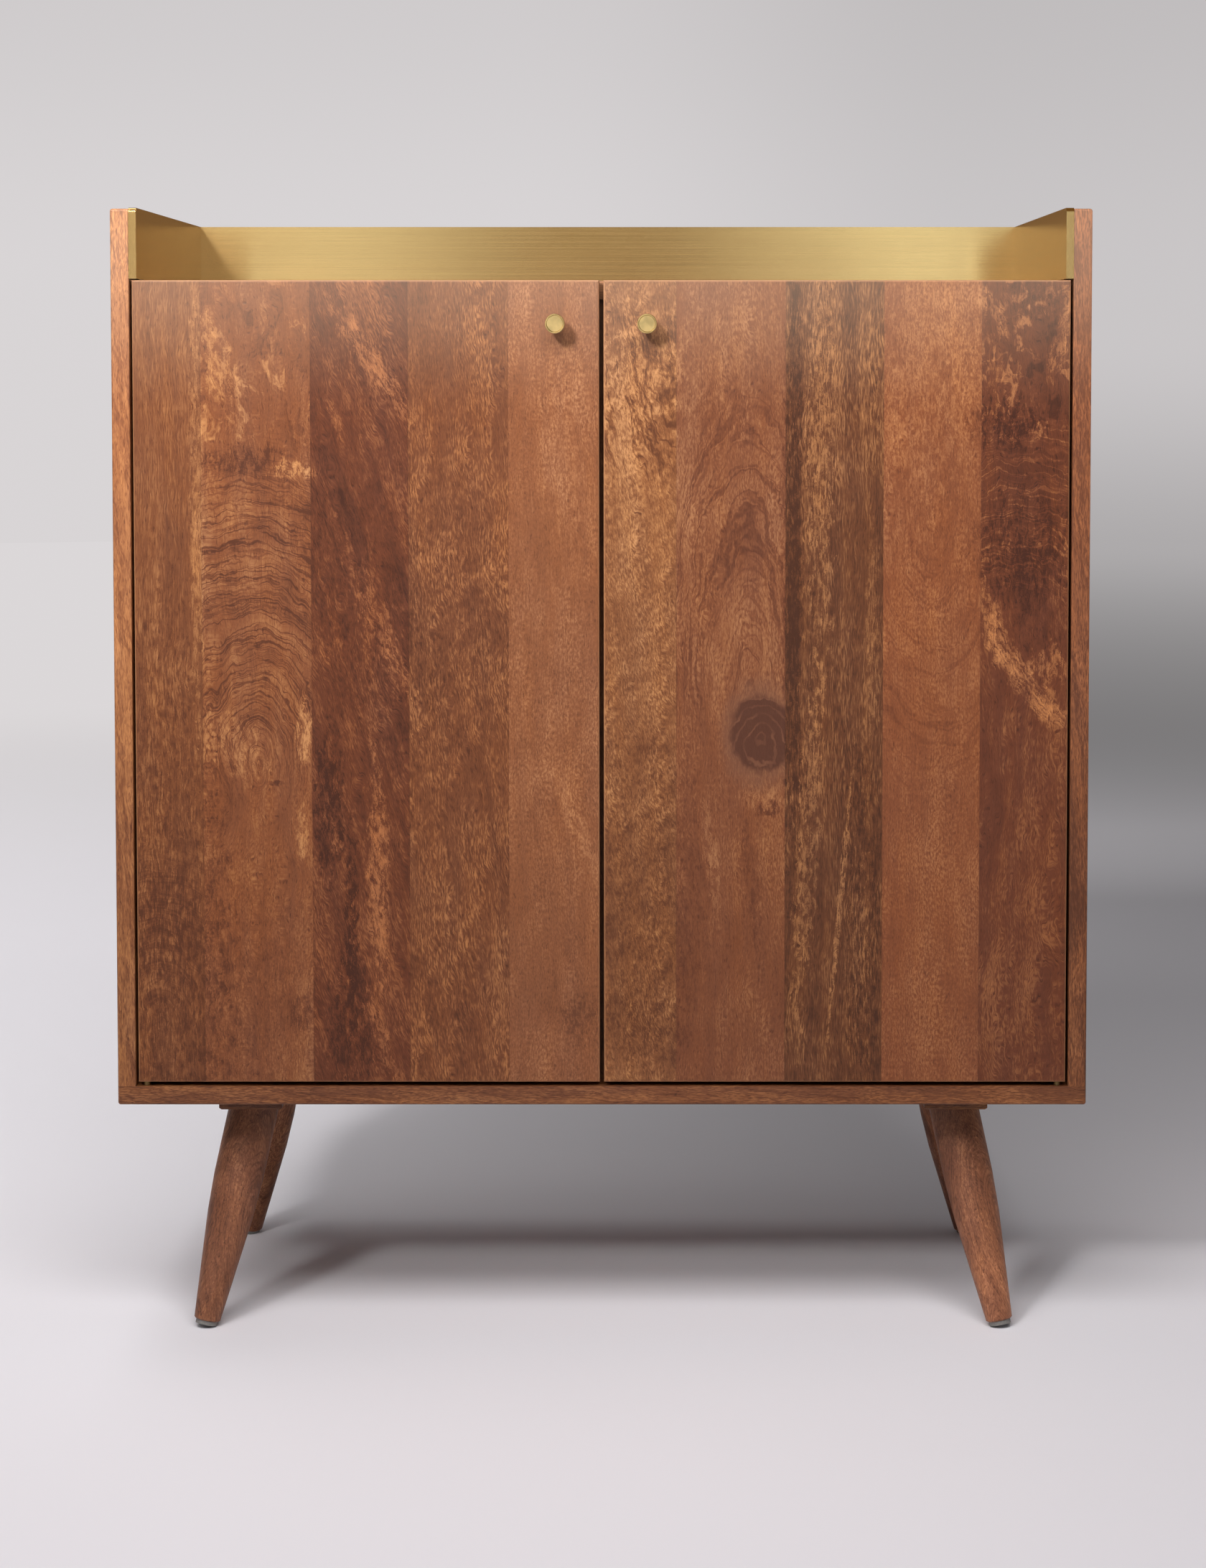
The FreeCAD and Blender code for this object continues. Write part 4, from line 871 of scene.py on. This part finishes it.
def floor_glow(w, x, y, shaded):
    """How bright the floor is far out: lit, and shaded behind the cabinet on the right."""
    aside = w.math("MINIMUM", x, w.math("ADD", y, 0.6))
    aside = w.math("MINIMUM", aside, w.math("SUBTRACT", w.math("MULTIPLY_ADD", y, 0.9, 1.9), x))
    aside = w.smooth(aside, -0.6, 0.8)
    return w.math("MULTIPLY_ADD", aside, w.math("SUBTRACT", shaded, LIT_FLOOR), LIT_FLOOR)


def backdrop_glow(w, across, ahead, up):
    """How bright the backdrop is to the camera: lit, and shaded on the right."""
    shaded = w.smooth(up, -0.08, 0.01, 0.40, 0.585)
    aside = w.math("MULTIPLY", w.smooth(across, -0.05, 0.12), w.smooth(ahead, 0.0, 0.6))
    glow = w.math("MULTIPLY_ADD", aside, w.math("SUBTRACT", shaded, LIT_BACKDROP), LIT_BACKDROP)
    return w.math("MULTIPLY", glow, w.smooth(up, 0.03, 0.14, 1.0, 0.9))


def mirrored_room(w, across, ahead, up):
    """What the brass mirrors: a dim warm room with a lit panel on the left and on the right."""
    left = w.math("MULTIPLY", w.smooth(across, -0.12, -0.03, 1.15, 0.0),
                  w.smooth(across, -0.17, -0.13))
    right = w.math("MULTIPLY", w.smooth(across, 0.02, 0.09, 0.0, 1.9),
                   w.smooth(across, 0.105, 0.135, 1.0, 0.0))
    band = w.math("MULTIPLY", w.smooth(up, -0.08, 0.0), w.smooth(up, 0.25, 0.40, 1.0, 0.0))
    band = w.math("MULTIPLY", band, w.smooth(ahead, -0.1, 0.0, 1.0, 0.0))
    panel = w.math("MULTIPLY", w.math("ADD", left, right), band)
    return w.combine(*[w.math("MULTIPLY_ADD", panel, gain, base)
                       for gain, base in zip(PANEL_GLOW, ROOM_GLOW)])


def studio_world(ambient):
    """A soft light from all sides, the backdrop for the camera, and the room for the brass."""
    world = bpy.data.worlds.new("studio")
    bpy.context.scene.world = world
    world.use_nodes = True
    w = Wiring(world.node_tree)
    soft = world.node_tree.nodes["Background"]
    soft.inputs["Color"].default_value = (1.0, 0.99, 1.0, 1.0)
    soft.inputs["Strength"].default_value = ambient
    ways = w.separate(w.node("ShaderNodeTexCoord").outputs["Generated"])
    seen = w.node("ShaderNodeBackground")
    w.put(seen.inputs["Color"], w.shade(BACKDROP_TINT, backdrop_glow(w, *ways)))
    room = w.node("ShaderNodeBackground")
    w.put(room.inputs["Color"], mirrored_room(w, *ways))
    path = w.node("ShaderNodeLightPath").outputs
    shiny = w.math("ADD", path["Is Glossy Ray"], path["Is Transmission Ray"], clamp=True)
    plain = w.mix_shaders(path["Is Camera Ray"], soft.outputs[0], seen.outputs[0])
    w.put(world.node_tree.nodes["World Output"].inputs["Surface"],
          w.mix_shaders(shiny, plain, room.outputs[0]))


def softbox(name, place, target, size, power, spread, mirrored=True):
    """A rectangular lamp that looks from its place to its target."""
    lamp = bpy.data.lights.new(name, "AREA")
    lamp.shape = "RECTANGLE"
    lamp.size, lamp.size_y = size
    lamp.energy = power
    lamp.spread = math.radians(spread)
    lamp.color = LAMP_WHITE
    holder = bpy.data.objects.new(name, lamp)
    bpy.context.scene.collection.objects.link(holder)
    holder.location = place
    aim = [b - a for a, b in zip(place, target)]
    flat = math.hypot(aim[0], aim[1])
    holder.rotation_euler = (math.atan2(flat, -aim[2]), 0.0, math.atan2(-aim[0], aim[1]))
    holder.visible_camera = False
    holder.visible_glossy = mirrored


def studio_light():
    studio_world(ambient=0.12)
    softbox("key_softbox", place=(-1.7, -3.5, 2.9), target=(-0.2, -0.19, 1.9), size=(0.6, 0.6),
            power=25.0, spread=50.0)
    softbox("overhead_softbox", place=(-0.15, -1.65, 2.3), target=(0.05, -0.2, 0.4),
            size=(2.6, 0.8), power=40.5, spread=150.0, mirrored=False)
    softbox("side_softbox", place=(2.9, 0.0, 1.15), target=(0.45, 0.0, 0.95), size=(0.8, 0.8),
            power=2.7, spread=30.0, mirrored=False)
    softbox("rear_floor_softbox", place=(-2.3, 2.0, 3.4), target=(-2.3, 2.0, 0.0),
            size=(3.8, 4.4), power=34.0, spread=60.0)


def studio_camera():
    """A camera in front of the doors that looks a little down, with its lens shifted."""
    data = bpy.data.cameras.new("camera")
    camera = bpy.data.objects.new("camera", data)
    bpy.context.scene.collection.objects.link(camera)
    camera.location = (0.0473, -2.7985, 0.917)
    look_down = 2.885
    camera.rotation_euler = (math.radians(90.0 - look_down), 0.0, 0.0)
    data.sensor_width = 36.0
    data.lens = 65.23
    data.shift_x = -0.0318
    data.shift_y = -0.178
    data.clip_end = 60.0
    bpy.context.scene.camera = camera


dress_doors()
dress_carcass()
dress_legs()
dress_brass()
dress_fittings()
studio_floor()
studio_light()
studio_camera()
bpy.context.scene.view_settings.view_transform = "Standard"
